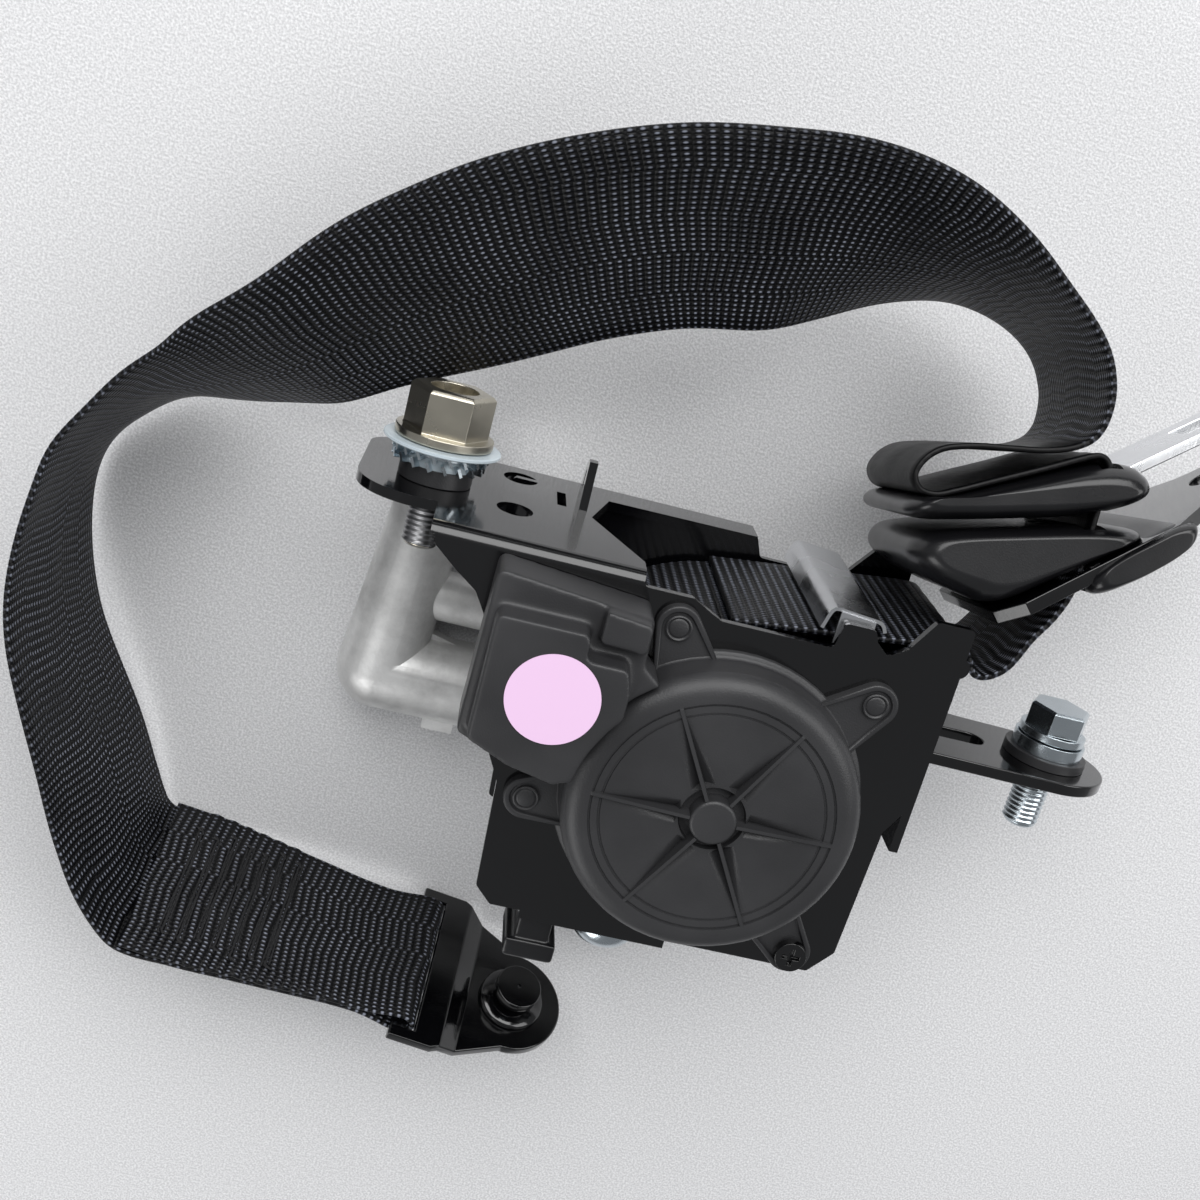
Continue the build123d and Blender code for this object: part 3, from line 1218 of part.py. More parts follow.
# free strap: a centre and the direction to the near edge at each station
stations = [
    ((62.4, 99, 45), (-.05, .2, .98)), ((61, 105, 43.6), (-.05, .2, .98)),
    ((56.4, 111, 42.3), (-.02, .17, .97)),
    ((48, 116, 41.5), (.01, .17, .9)), ((38, 120, 41), (.04, .28, .85)),
    ((21, 122, 43.5), (.07, .55, .72)),
    ((0, 121, 51), (.0, .82, .45)), ((-17, 118, 58), (-.26, .88, .40)),
    ((-33, 115, 59), (-.25, .88, .40)),
    ((-49, 109, 58), (-.21, .89, .39)), ((-63, 102, 56), (-.23, .90, .37)),
    ((-78, 92, 51), (-.22, .86, .46)),
    ((-94, 80, 45), (-.23, .80, .55)), ((-110, 66, 40), (-.17, .69, .70)),
    ((-126, 55, 32), (-.03, .48, .88)),
    ((-140, 48, 29), (.07, .32, .94)), ((-149, 39, 28), (.08, .37, .93)),
    ((-156, 29, 27), (.04, .29, .96)),
    ((-159, 16, 27), (-.03, .28, .96)), ((-159, 1, 27), (-.14, .20, .97)),
    ((-156, -14, 28), (-.24, .23, .94)),
    ((-150, -29, 28), (-.28, .21, .93)), ((-142, -47, 26.5), (-.33, .13, .94)),
    ((-136, -62, 25.5), (-.30, -.05, .95)),
    ((-131, -73, 24.3), (-.18, -.26, .94)),
]
LAYER_N = 0.7           # middle of each webbing layer, off the plane of the anchor
SEWN_START_T = -75.0
anchor_near = -anchor.y_dir
free_centres = [fold_end] + [Vector(*centre) for centre, near in stations]
free_across = [toward_near] + [Vector(*near) for centre, near in stations]
free_centres.append(along(anchor, SEWN_START_T, 0, -LAYER_N))
free_across.append(anchor_near)
free_part = ribbon(free_centres, free_across, leave_heading, anchor.x_dir, 110, square=1)

loop_pairs = [(SEWN_START_T, -LAYER_N), (-60, -LAYER_N), (-45, -LAYER_N), (-30, -LAYER_N), (-18, -LAYER_N),
              (-11, -0.9), (-6, -1.9), (-2.4, -3.0)]
for angle in (-90, -60, -30, 0, 30, 60, 90):
    loop_pairs.append(polar(LOOP_R, angle))
loop_pairs += [(t, -n) for t, n in reversed(loop_pairs[1:8])] + [(SEWN_START_T + 1, LAYER_N)]
loop_part = strip(anchor_side, loop_pairs, Vector(1, 0), Vector(-1, 0))
# the edges are tucked in where the strap goes round the bar
with BuildPart() as tuck:
    for side in (1, -1):
        with BuildSketch(anchor):
            with BuildLine():
                Polyline((-60, side * WEB_W / 2), (-15, side * TUCK_W / 2), (10, side * TUCK_W / 2),
                         (10, side * WEB_W), (-60, side * WEB_W), close=True)
            make_face()
        extrude(amount=10, both=True)
loop_part = loop_part - tuck.part
webbing = Compound([exit_part, *fold_part.solids(), free_part, *loop_part.solids()])
webbing.label = "webbing"
export_step(webbing, "parts/webbing.step")
free_webbing = path_length(exit_centres) + path_length([Vector(*pair) for pair in fold_pairs])
free_webbing += path_length(free_centres) + path_length([Vector(*pair) for pair in loop_pairs])
print("free webbing length", round(free_webbing, 1), "solids", len(webbing.solids()))
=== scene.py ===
import json
import math

import bmesh
import bpy
import numpy as np
from mathutils import Matrix, Vector

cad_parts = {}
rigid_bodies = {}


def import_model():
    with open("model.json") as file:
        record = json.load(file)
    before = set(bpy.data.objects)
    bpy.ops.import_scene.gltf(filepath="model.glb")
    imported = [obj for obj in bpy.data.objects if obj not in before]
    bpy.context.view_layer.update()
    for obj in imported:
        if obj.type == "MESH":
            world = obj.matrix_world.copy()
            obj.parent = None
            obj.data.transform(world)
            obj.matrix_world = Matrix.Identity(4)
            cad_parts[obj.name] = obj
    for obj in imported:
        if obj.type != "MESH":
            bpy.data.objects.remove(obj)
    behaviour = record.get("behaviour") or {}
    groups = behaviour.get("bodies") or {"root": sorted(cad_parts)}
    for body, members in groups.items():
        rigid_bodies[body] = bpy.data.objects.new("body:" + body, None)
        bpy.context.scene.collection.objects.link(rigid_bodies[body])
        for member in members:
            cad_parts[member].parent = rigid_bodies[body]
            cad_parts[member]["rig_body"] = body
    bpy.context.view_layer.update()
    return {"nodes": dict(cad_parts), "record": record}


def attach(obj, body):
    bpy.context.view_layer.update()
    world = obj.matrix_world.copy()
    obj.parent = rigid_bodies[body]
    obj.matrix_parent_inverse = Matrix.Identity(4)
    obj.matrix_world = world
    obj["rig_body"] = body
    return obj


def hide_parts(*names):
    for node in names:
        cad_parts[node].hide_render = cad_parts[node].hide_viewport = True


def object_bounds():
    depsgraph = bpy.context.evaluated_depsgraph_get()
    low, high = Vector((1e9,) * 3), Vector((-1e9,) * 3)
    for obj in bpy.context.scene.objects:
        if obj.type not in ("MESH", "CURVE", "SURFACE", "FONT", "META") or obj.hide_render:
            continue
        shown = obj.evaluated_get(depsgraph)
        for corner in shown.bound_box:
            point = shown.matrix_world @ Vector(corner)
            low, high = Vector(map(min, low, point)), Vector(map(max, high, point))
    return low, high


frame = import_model()
nodes = frame["nodes"]
mm = 0.001


def unit(v):
    return v / np.linalg.norm(v)


def rad(angle):
    return math.radians(angle)


def circlePoint(centre, radius, angle):
    return np.array((centre[0] + radius * math.cos(rad(angle)), centre[1] + radius * math.sin(rad(angle))))


def linked(name, data):
    thing = bpy.data.objects.new(name, data)
    bpy.context.scene.collection.objects.link(thing)
    return thing


cameraSet = {
    "place": (-0.070882, 0.132763, 0.376724),
    "turn": 7.0,
    "rise": 17.5,
    "roll": 15.5,
    "lens": 45.0,
    "sensor": 36.0,
    "near": 0.01,
}


def cameraAxes(turn, rise, roll):
    a, e, r = (rad(x) for x in (turn, rise, roll))
    back = Vector((-math.sin(a) * math.cos(e), math.sin(e), math.cos(a) * math.cos(e)))
    up = (Vector((0, 1, 0)) - back * back.y).normalized()
    right = up.cross(back)
    return (math.cos(r) * right + math.sin(r) * up, math.cos(r) * up - math.sin(r) * right, back)


cameraData = bpy.data.cameras.new("photoCamera")
cameraData.lens = cameraSet["lens"]
cameraData.sensor_width = cameraSet["sensor"]
cameraData.sensor_fit = "HORIZONTAL"
cameraData.clip_start = cameraSet["near"]
camera = linked("photoCamera", cameraData)
cameraTurn = Matrix(cameraAxes(cameraSet["turn"], cameraSet["rise"], cameraSet["roll"])).transposed()
camera.matrix_world = Matrix.Translation(cameraSet["place"]) @ cameraTurn.to_4x4()
bpy.context.scene.camera = camera
print("camera set")


# materials
class Wire:
    def __init__(self, look, socket):
        self.look = look
        self.socket = socket

    def math(self, operation, other=None):
        return self.look.add("ShaderNodeMath", [self, other], operation=operation)

    def __add__(self, other):
        return self.math("ADD", other)

    __radd__ = __add__

    def __sub__(self, other):
        return self.math("SUBTRACT", other)

    def __rsub__(self, other):
        return self.look.add("ShaderNodeMath", [other, self], operation="SUBTRACT")

    def __mul__(self, other):
        return self.math("MULTIPLY", other)

    __rmul__ = __mul__

    def __truediv__(self, other):
        return self.math("DIVIDE", other)

    def fract(self):
        return self.math("FRACT")

    def floor(self):
        return self.math("FLOOR")

    def sine(self):
        return self.math("SINE")

    def ramp(self, low, high, toLow=0.0, toHigh=1.0):
        return self.look.add("ShaderNodeMapRange", {"Value": self, "From Min": low, "From Max": high,
                                                    "To Min": toLow, "To Max": toHigh})

    def output(self, place):
        return Wire(self.look, self.socket.node.outputs[place])


class Look:
    def __init__(self, name, color, roughness, metallic=0.0, coat=0.0, alpha=1.0, ior=1.5):
        self.material = bpy.data.materials.new(name)
        self.material.use_nodes = True
        self.tree = self.material.node_tree
        self.shader = self.tree.nodes["Principled BSDF"]
        self.set("Base Color", (*color, 1.0))
        self.set("Roughness", roughness)
        self.set("Metallic", metallic)
        self.set("Coat Weight", coat)
        self.set("Coat Roughness", 0.08)
        self.set("Alpha", alpha)
        self.set("IOR", ior)
        self.material.diffuse_color = (*color, 1.0)

    def set(self, name, value):
        self.join(value, self.shader.inputs[name])

    def join(self, value, target):
        if value is None:
            return
        if isinstance(value, Wire):
            self.tree.links.new(value.socket, target)
        else:
            target.default_value = value

    def add(self, kind, inputs=(), output=0, **settings):
        node = self.tree.nodes.new(kind)
        for name, value in settings.items():
            setattr(node, name, value)
        pairs = inputs.items() if isinstance(inputs, dict) else enumerate(inputs)
        for key, value in pairs:
            self.join(value, node.inputs[key])
        return Wire(self, node.outputs[output])

    def objectPlace(self):
        return self.add("ShaderNodeTexCoord", output="Object")

    def noise(self, scale, detail=3.0, place=None, roughness=0.5):
        return self.add("ShaderNodeTexNoise", {"Vector": place or self.objectPlace(), "Scale": scale,
                                               "Detail": detail, "Roughness": roughness})

    def mixColor(self, factor, first, second):
        first, second = (value if isinstance(value, Wire) else (*value, 1.0) for value in (first, second))
        return self.add("ShaderNodeMix", {0: factor, 6: first, 7: second}, output=2, data_type="RGBA")

    def bump(self, height, distance, strength=1.0):
        sizes = {"Strength": strength, "Distance": distance, "Height": height}
        self.set("Normal", self.add("ShaderNodeBump", sizes))


# scales of the noise in turns per metre, and heights of the relief in metres
grainSet = {
    "paint": {"patch": 35.0, "wave": 90.0, "fine": 1400.0, "relief": 0.00012},
    "plastic": {"patch": 40.0, "fine": 2600.0},
    "metal": {"patch": 60.0, "fine": 900.0, "relief": 0.00006},
    "cast": {"patch": 45.0, "fine": 700.0, "relief": 0.00018, "roughness": 0.42, "metallic": 0.5},
    "label": {"fine": 500.0, "relief": 0.00003, "roughness": 0.4},
    "clear": {"fine": 300.0, "relief": 0.00005, "roughness": 0.18},
}


def scaled(color, share, extra=0.0):
    return tuple(c * share + extra for c in color)


def paintLook(name, color, roughness, coat):
    sizes = grainSet["paint"]
    look = Look(name, color, roughness, coat=coat)
    wave = look.noise(sizes["wave"], 2.0)
    fine = look.noise(sizes["fine"], 2.0)
    patch = look.noise(sizes["patch"], 4.0)
    look.set("Roughness", patch.ramp(0.3, 0.7, roughness - 0.05, roughness + 0.1))
    look.bump(wave * 0.7 + fine * 0.3, sizes["relief"], 0.35)
    return look.material


def plasticLook(name, color, roughness, grain, coat=0.0):
    sizes = grainSet["plastic"]
    look = Look(name, color, roughness, coat=coat)
    fine = look.noise(sizes["fine"], 2.0)
    patch = look.noise(sizes["patch"], 3.0)
    look.set("Roughness", patch.ramp(0.25, 0.75, roughness - 0.06, roughness + 0.08))
    look.set("Base Color", look.mixColor(patch.ramp(0.35, 0.7), color, scaled(color, 1.35, 0.002)))
    look.bump(fine, grain, 0.5)
    return look.material


def metalLook(name, color, roughness, mottle, streak=1.0):
    sizes = grainSet["metal"]
    look = Look(name, color, roughness, metallic=1.0)
    place = look.add("ShaderNodeMapping", {"Vector": look.objectPlace(), "Scale": (1.0, streak, 1.0)})
    patch = look.noise(sizes["patch"], 5.0, place)
    fine = look.noise(sizes["fine"], 3.0, place)
    look.set("Roughness", patch.ramp(0.3, 0.7, roughness - 0.08, roughness + 0.14))
    look.set("Base Color", look.mixColor(patch.ramp(0.3, 0.75), color, scaled(color, 1 - mottle)))
    look.bump(fine, sizes["relief"], 0.5)
    return look.material


def castLook(name, color):
    sizes = grainSet["cast"]
    look = Look(name, color, sizes["roughness"], metallic=sizes["metallic"])
    patch = look.noise(sizes["patch"], 6.0, roughness=0.65)
    fine = look.noise(sizes["fine"], 4.0)
    look.set("Roughness", patch.ramp(0.3, 0.7, 0.32, 0.56))
    look.set("Base Color", look.mixColor(patch.ramp(0.4, 0.65), color, scaled(color, 0.62)))
    look.bump(fine * 0.6 + patch * 0.4, sizes["relief"], 0.6)
    return look.material


def plainLook(kind, name, color, alpha=1.0):
    sizes = grainSet[kind]
    look = Look(name, color, sizes["roughness"], alpha=alpha)
    look.bump(look.noise(sizes["fine"], 2.0), sizes["relief"], 0.3)
    return look.material


webbingSet = {
    "column": 0.00118,
    "pick": 0.00215,
    "slant": 0.045,
    "chevron": 0.0094,
    "depth": 0.00030,
    "ribFade": 0.002,
    "rubFade": 0.003,
    "thread": (0.0036, 0.0038, 0.0058),
    # painted highlight: the tops of the thread knuckles are coloured a lighter bluish grey
    "knuckle": (0.27, 0.29, 0.35),
    # painted shade: the hollows of the weave are coloured darker than the thread
    "groove": (0.001, 0.001, 0.0013),
}


# the weave reads the strap's own UV map, metres across and metres along: the first part is ribbed straight, and the
# part through the D-ring and the tongue is rubbed smooth. The tops of the knuckles carry a painted highlight, patchy
# at random, which the rubbed part lacks.
def webbingLook(name, ribbedTo=0.0, smoothFrom=0.0, smoothTo=0.0):
    look = Look(name, webbingSet["thread"], 0.5, ior=1.3)
    across = look.add("ShaderNodeSeparateXYZ", [look.add("ShaderNodeUVMap", uv_map="strap")])
    along = across.output(1)
    column = across / webbingSet["column"]
    lane = (across / webbingSet["chevron"]).floor() * 0.5
    side = (lane.fract() * 4.0 - 1.0) * along.ramp(ribbedTo, ribbedTo + webbingSet["ribFade"])
    step = along / webbingSet["pick"] + column.floor() * side * webbingSet["slant"]
    rib = (column.fract() * math.pi).sine()
    dot = (step.fract() * math.pi).sine()
    height = dot * (rib * 0.75 + 0.25)
    wearAndGlint = look.noise(55.0, 3.0)
    # painted highlight on the knuckle tops, made patchy at random by the same noise that varies the roughness
    knuckle = (rib * dot).ramp(0.72, 0.98) * wearAndGlint.ramp(0.3, 0.7, 0.3, 1.0)
    if smoothTo > smoothFrom:
        fade = webbingSet["rubFade"]
        rubbed = along.ramp(smoothFrom, smoothFrom + fade) * along.ramp(smoothTo - fade, smoothTo, 1.0, 0.0)
        woven = 1.0 - rubbed
        height = height * (woven * 0.85 + 0.15)
        knuckle = knuckle * woven
    # painted shade: darker colour where the weave is low, in its hollows
    base = look.mixColor(height.ramp(0.15, 0.9), webbingSet["groove"], webbingSet["thread"])
    look.set("Base Color", look.mixColor(knuckle, base, webbingSet["knuckle"]))
    look.set("Roughness", wearAndGlint.ramp(0.3, 0.7, 0.36, 0.52))
    look.bump(height, webbingSet["depth"], 1.0)
    return look.material


looks = {
    "black_steel": paintLook("blackPaint", (0.0012, 0.0012, 0.0016), 0.13, 0.6),
    "black_plastic": plasticLook("blackPlastic", (0.022, 0.022, 0.0235), 0.40, 0.00010),
    "gloss_moulding": plasticLook("smoothMoulding", (0.003, 0.003, 0.0038), 0.3, 0.00004, coat=0.15),
    "white_plastic": plasticLook("whitePlastic", (0.72, 0.71, 0.66), 0.45, 0.00006),
    "clear_plastic": plainLook("clear", "clearPlastic", (0.72, 0.82, 0.88), 0.62),
    "pale_label": plainLook("label", "paleLabel", (0.82, 0.57, 0.80)),
    "steel": metalLook("plainSteel", (0.42, 0.42, 0.43), 0.32, 0.25),
    "bright_steel": metalLook("brightSteel", (0.80, 0.81, 0.83), 0.22, 0.06, 0.1),
    "zinc_steel": metalLook("zincSteel", (0.66, 0.62, 0.52), 0.24, 0.25),
    "die_cast": castLook("dieCast", (0.84, 0.84, 0.83)),
    "webbing": webbingLook("webbingWeave"),
}
blueZinc = metalLook("blueZincSteel", (0.60, 0.66, 0.70), 0.2, 0.15)
threadLook = plasticLook("sewingThread", (0.004, 0.004, 0.005), 0.6, 0.00008)
slotOf = {s["node"]: s["material_slot"] for s in frame["record"]["subparts"]}
for name, node in nodes.items():
    node.data.materials.clear()
    node.data.materials.append(looks[slotOf[name]])
print("materials made")


# meshes
def bodyOf(nodeName):
    return nodes[nodeName]["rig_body"]


def makeObject(name, mesh, material, body, replaced=(), flatFaces=False):
    piece = linked(name, mesh)
    mesh.materials.clear()
    mesh.materials.append(material)
    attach(piece, body)
    if replaced:
        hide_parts(*replaced)
    if flatFaces:
        piece.modifiers.new("flatFaces", "WEIGHTED_NORMAL").keep_sharp = True
    return piece


def shadeSmooth(mesh):
    mesh.polygons.foreach_set("use_smooth", [True] * len(mesh.polygons))


def meshOf(name, verts, faces, smooth=True):
    mesh = bpy.data.meshes.new(name)
    mesh.from_pydata([tuple(v) for v in verts], [], faces)
    mesh.validate()
    if smooth:
        shadeSmooth(mesh)
    return mesh


def fixNormals(mesh):
    bm = bmesh.new()
    bm.from_mesh(mesh)
    bmesh.ops.recalc_face_normals(bm, faces=bm.faces)
    bm.to_mesh(mesh)
    bm.free()
    return mesh


# faces between rings of corners that follow each other, counted from the first corner
def ringFaces(rings, corners, first=0):
    faces = []
    for k in range(rings - 1):
        for i in range(corners):
            here, there = first + k * corners, first + (k + 1) * corners
            j = (i + 1) % corners
            faces.append((here + i, here + j, there + j, there + i))
    return faces


def endFaces(rings, corners):
    return [tuple(range(corners))[::-1], tuple((rings - 1) * corners + i for i in range(corners))]


# the mesh of a passing object with its modifiers worked in; the object goes
def applied(piece):
    mesh = bpy.data.meshes.new_from_object(piece.evaluated_get(bpy.context.evaluated_depsgraph_get()))
    bpy.data.objects.remove(piece)
    return mesh


def joined(name, meshes):
    bm = bmesh.new()
    for mesh in meshes:
        bm.from_mesh(mesh)
    made = bpy.data.meshes.new(name)
    bm.to_mesh(made)
    bm.free()
    return made


# a node's name in camel case, with a second word where it has only one
def camelName(nodeName):
    words = nodeName.split("_") if "_" in nodeName else [nodeName, "body"]
    return words[0] + "".join(word.capitalize() for word in words[1:])


softSet = {"segments": 2, "angle": 32.0, "weld": 1e-6, "flat": 0.6}


# a copy of a CAD node with its edges rounded
def soften(nodeName, width, material):
    source = nodes[nodeName]
    bm = bmesh.new()
    bm.from_mesh(source.data)
    bmesh.ops.remove_doubles(bm, verts=bm.verts, dist=softSet["weld"])
    flat = rad(softSet["flat"])
    bmesh.ops.dissolve_limit(bm, angle_limit=flat, verts=bm.verts, edges=bm.edges)
    mesh = bpy.data.meshes.new(nodeName + "Soft")
    bm.to_mesh(mesh)
    bm.free()
    shadeSmooth(mesh)
    slot = slotOf[nodeName]
    piece = makeObject(camelName(nodeName), mesh, material or looks[slot], bodyOf(nodeName), [nodeName])
    bevel = piece.modifiers.new("roundedEdges", "BEVEL")
    bevel.width = width
    bevel.segments = softSet["segments"]
    bevel.limit_method = "ANGLE"
    bevel.angle_limit = rad(softSet["angle"])
    bevel.use_clamp_overlap = True
    piece.modifiers.new("flatFaces", "WEIGHTED_NORMAL").keep_sharp = True


# width of the rounding in millimetres
softEdges = {
    "frame": 0.4, "lower_arm": 0.4, "ring_plate": 0.5, "tongue_blade": 0.4, "anchor_plate": 0.5,
    "tensioner_body": 0.8, "dome_stud": 0.3, "gear_lid": 0.2,
    "upper_bolt": 0.25, "lower_bolt": 0.25, "bolt_bush": 0.3, "arm_washer": 0.2,
    "arm_spacer": 0.15, "bolt_clip": 0.2, "gas_generator": 0.3, "tube_plug": 0.2, "cover_screw": 0.15,
}
blueNodes = ("lower_bolt", "arm_spacer", "dome_stud")
for name, width in softEdges.items():
    soften(name, width * mm, blueZinc if name in blueNodes else None)
print("edges rounded")


# strap route, in millimetres
stackTurn, stackTilt = rad(15.5), rad(12)
anchorTurn, anchorTilt = rad(-8), rad(25)
stackOrigin = np.array((52.0, 72.0, 50.0))
stackU = np.array((math.cos(stackTurn), math.sin(stackTurn), 0.0))
stackW = np.array((-stackU[1] * math.sin(stackTilt), stackU[0] * math.sin(stackTilt), math.cos(stackTilt)))
stackV = np.cross(stackW, stackU)
anchorOrigin = np.array((-50.0, -92.0, 22.2))
anchorT = np.array((math.cos(anchorTurn), math.sin(anchorTurn), 0.0))
anchorN = np.array((-anchorT[1] * math.cos(anchorTilt), anchorT[0] * math.cos(anchorTilt), math.sin(anchorTilt)))
anchorNear = -np.cross(anchorN, anchorT)


def inStack(u, v, w=0.0):
    return stackOrigin + u * stackU + v * stackV + w * stackW


def onAnchor(t, n, w=0.0):
    return anchorOrigin + t * anchorT + n * anchorN + w * anchorNear


webWidth, webThick, webGap = 47.0, 1.2, 0.3
rollR, lipR = 38.0 + webGap + webThick / 2, 2.4 + webGap + webThick / 2
lip = np.array((45.0, 41.5))
lipReach = np.linalg.norm(lip)
exitAngle = math.degrees(math.atan2(lip[1], lip[0]) + math.acos((rollR - lipR) / lipReach))
leave = circlePoint((0, 0), rollR, exitAngle)
reach = circlePoint(lip, lipR, exitAngle)
runLow, runHigh = np.array((7.6, -23.5)), np.array((16.6, 9.2))
runStep = unit(runHigh - runLow)
runBottomV = -13.0
runBottom = (runLow[0] + (runBottomV - runLow[1]) * runStep[0] / runStep[1], runBottomV)
foldLast = (15.6, 19)
freeFirst, freeLast = (62.4, 99, 45), (-131, -73, 24.3)
zUp = np.array((0.0, 0.0, 1.0))
route = []


def station(place, near, width=webWidth):
    route.append((np.array(place, float), unit(np.array(near, float)), width))


def turned(share):
    return zUp * (1 - share) + stackW * share


station((*leave, 50.0), zUp)
station((*((leave + reach) / 2), 50.8), zUp)
station((*reach, 51.6), zUp)
for angle, rise in ((70, 0.12), (40, 0.24), (10, 0.37)):
    station((*circlePoint(lip, lipR, angle), 51.6 + rise), zUp)
station((49.7, 39.9, 52.6), turned(0.08))
station((52.7, 38.8, 53.15), turned(0.35))
station((56.4, 40.2, 54.1), turned(0.72))
for u, v, w in ((0.9, -26.4, -0.5), (4.9, -22.4, -0.1), (8.2, -18.0, 0.0), (*runBottom, 0.0), (13.6, -1.6, 0),
                (*runHigh, 0)):
    station(inStack(u, v, w), stackW)
runSide = np.array((runStep[1], -runStep[0]))
bendRadius = 2.6
bend = runHigh - runSide * bendRadius
for angle in (14, 44, 74, 102):
    station(inStack(*circlePoint(bend, bendRadius, angle)), stackW)
for u, v in ((3, 10.0), (-8, 7.55), (-16, 5.75), (-20.5, 5.1), (-23.8, 6.3), (-24.9, 9.3), (-23, 12.4),
             (-19.2, 14.6), (-12, 15.1), (-4, 14.4), (3, 13.85), (9, 14.3), (13.2, 16), foldLast):
    station(inStack(u, v), stackW)
for place, near in (
    (freeFirst, (-.05, .2, .98)), ((61, 105, 43.6), (-.05, .2, .98)), ((56.4, 111, 42.3), (-.02, .17, .97)),
    ((48, 116, 41.5), (.01, .17, .9)), ((38, 120, 41), (.04, .28, .85)), ((21, 122, 43.5), (.07, .55, .72)),
    ((0, 121, 51), (.0, .82, .45)), ((-17, 118, 58), (-.26, .88, .40)), ((-33, 115, 59), (-.25, .88, .40)),
    ((-49, 109, 58), (-.21, .89, .39)), ((-63, 102, 56), (-.23, .90, .37)), ((-78, 92, 51), (-.22, .86, .46)),
    ((-94, 80, 45), (-.23, .80, .55)), ((-110, 66, 40), (-.17, .69, .70)), ((-126, 55, 32), (-.03, .48, .88)),
    ((-140, 48, 29), (.07, .32, .94)), ((-149, 39, 28), (.08, .37, .93)), ((-156, 29, 27), (.04, .29, .96)),
    ((-159, 16, 27), (-.03, .28, .96)), ((-159, 1, 27), (-.14, .20, .97)), ((-156, -14, 28), (-.24, .23, .94)),
    ((-150, -29, 28), (-.28, .21, .93)), ((-142, -47, 26.5), (-.33, .13, .94)),
    ((-136, -62, 25.5), (-.30, -.05, .95)), (freeLast, (-.18, -.26, .94)),
):
    station(place, near)


# the strap is drawn in towards the anchor
tuckSet = {"width": 38.6, "from": -60, "over": 45}


def tucked(t):
    share = min(1.0, max(0.0, (t - tuckSet["from"]) / tuckSet["over"]))
    return webWidth - (webWidth - tuckSet["width"]) * share


layerN = 0.7
mainLayer = [(-75, -layerN), (-60, -layerN), (-45, -layerN), (-30, -layerN), (-18, -layerN), (-11, -0.9),
             (-6, -1.9), (-2.4, -3.0)]
for t, n in mainLayer:
    station(onAnchor(t, n), anchorNear, tucked(t))
for angle in (-90, -60, -30, 0, 30, 60, 90):
    loopRadius = 3.4 + 0.5 * math.cos(rad(angle))
    station(onAnchor(*circlePoint((0, 0), loopRadius, angle)), anchorNear, tucked(0))
for t, n in reversed(mainLayer[1:]):
    station(onAnchor(t, -n), anchorNear, tucked(t))
station(onAnchor(-74, layerN), anchorNear)


# smooth curve through the stations, sampled at an even step
def slopesOf(values, knots):
    slopes = np.zeros_like(values)
    for k in range(1, len(values) - 1):
        before, after = knots[k] - knots[k - 1], knots[k + 1] - knots[k]
        first, second = (values[k] - values[k - 1]) / before, (values[k + 1] - values[k]) / after
        slopes[k] = (first * after + second * before) / (before + after)
    slopes[0] = (values[1] - values[0]) / (knots[1] - knots[0])
    slopes[-1] = (values[-1] - values[-2]) / (knots[-1] - knots[-2])
    return slopes


def sampleRoute(stations, step):
    values = np.array([[*place, *near, width] for place, near, width in stations])
    gaps = np.linalg.norm(np.diff(values[:, :3], axis=0), axis=1)
    knots = np.concatenate(([0.0], np.cumsum(np.sqrt(gaps))))
    slopes = slopesOf(values, knots)
    dense = []
    for k, gap in enumerate(gaps):
        span = knots[k + 1] - knots[k]
        count = max(2, int(gap / step) + 1)
        for i in range(count):
            s = i / count
            dense.append((2 * s**3 - 3 * s**2 + 1) * values[k] + (s**3 - 2 * s**2 + s) * span * slopes[k]
                         + (3 * s**2 - 2 * s**3) * values[k + 1] + (s**3 - s**2) * span * slopes[k + 1])
    dense.append(values[-1])
    dense = np.array(dense)
    return dense[:, :3], dense[:, 3:6], dense[:, 6]


# strap cross-section: across in widths from -0.5 to 0.5, lift in half thicknesses, with a rounded selvage
strapSet = {"step": 1.0, "columns": 12, "crown": 0.10, "flat": 0.978, "selvage": (0.497, 0.55),
            "ribbedTo": 50.0, "foldInset": 4}


def strapMesh(name, places, nears, widths, thick, square):
    columns = strapSet["columns"]
    headings = np.gradient(places, axis=0)
    headings /= np.linalg.norm(headings, axis=1)[:, None]
    outline = []
    for k in range(columns + 1):
        x = k / columns - 0.5
        outline.append((x * strapSet["flat"], 1.0 + strapSet["crown"] * math.cos(k * math.pi)))
    edge, edgeLift = strapSet["selvage"]
    ring = [(-edge, edgeLift), *outline, (edge, edgeLift)]
    ring = ring + [(x, -y) for x, y in reversed(ring)]
    verts, uvs = [], []
    length = 0.0
    for k, (place, near, heading, width) in enumerate(zip(places, nears, headings, widths)):
        if k:
            length += np.linalg.norm(places[k] - places[k - 1])
        skew = square[k]
        near = unit(near - heading * near.dot(heading) * skew)
        lift = unit(np.cross(heading, near))
        for x, y in ring:
            verts.append((place + near * width * x + lift * y * thick / 2) * mm)
            uvs.append(((x + 0.5) * width * mm, length * mm))
    n = len(ring)
    faces = ringFaces(len(places), n)
    half = n // 2
    for base in (0, (len(places) - 1) * n):
        for i in range(half - 1):
            quad = (base + i, base + i + 1, base + n - 2 - i, base + n - 1 - i)
            faces.append(quad if base else quad[::-1])
    mesh = meshOf(name, verts, faces)
    layer = mesh.uv_layers.new(name="strap")
    for loop in mesh.loops:
        layer.data[loop.index].uv = uvs[loop.vertex_index]
    return fixNormals(mesh), length


places, nears, widths = sampleRoute(route, strapSet["step"])

# the sewn end is puckered between the rows of its seam
puckerSet = {"firstT": -65.0, "lastT": -37.4, "step": 4.6, "height": 0.6}
for k in range(len(places) // 2, len(places)):
    t, n = (places[k] - anchorOrigin).dot(anchorT), (places[k] - anchorOrigin).dot(anchorN)
    if n > 0 and puckerSet["firstT"] < t < puckerSet["lastT"]:
        rise = 0.5 - 0.5 * math.cos((t - puckerSet["firstT"]) / puckerSet["step"] * math.tau)
        places[k] += anchorN * puckerSet["height"] * rise


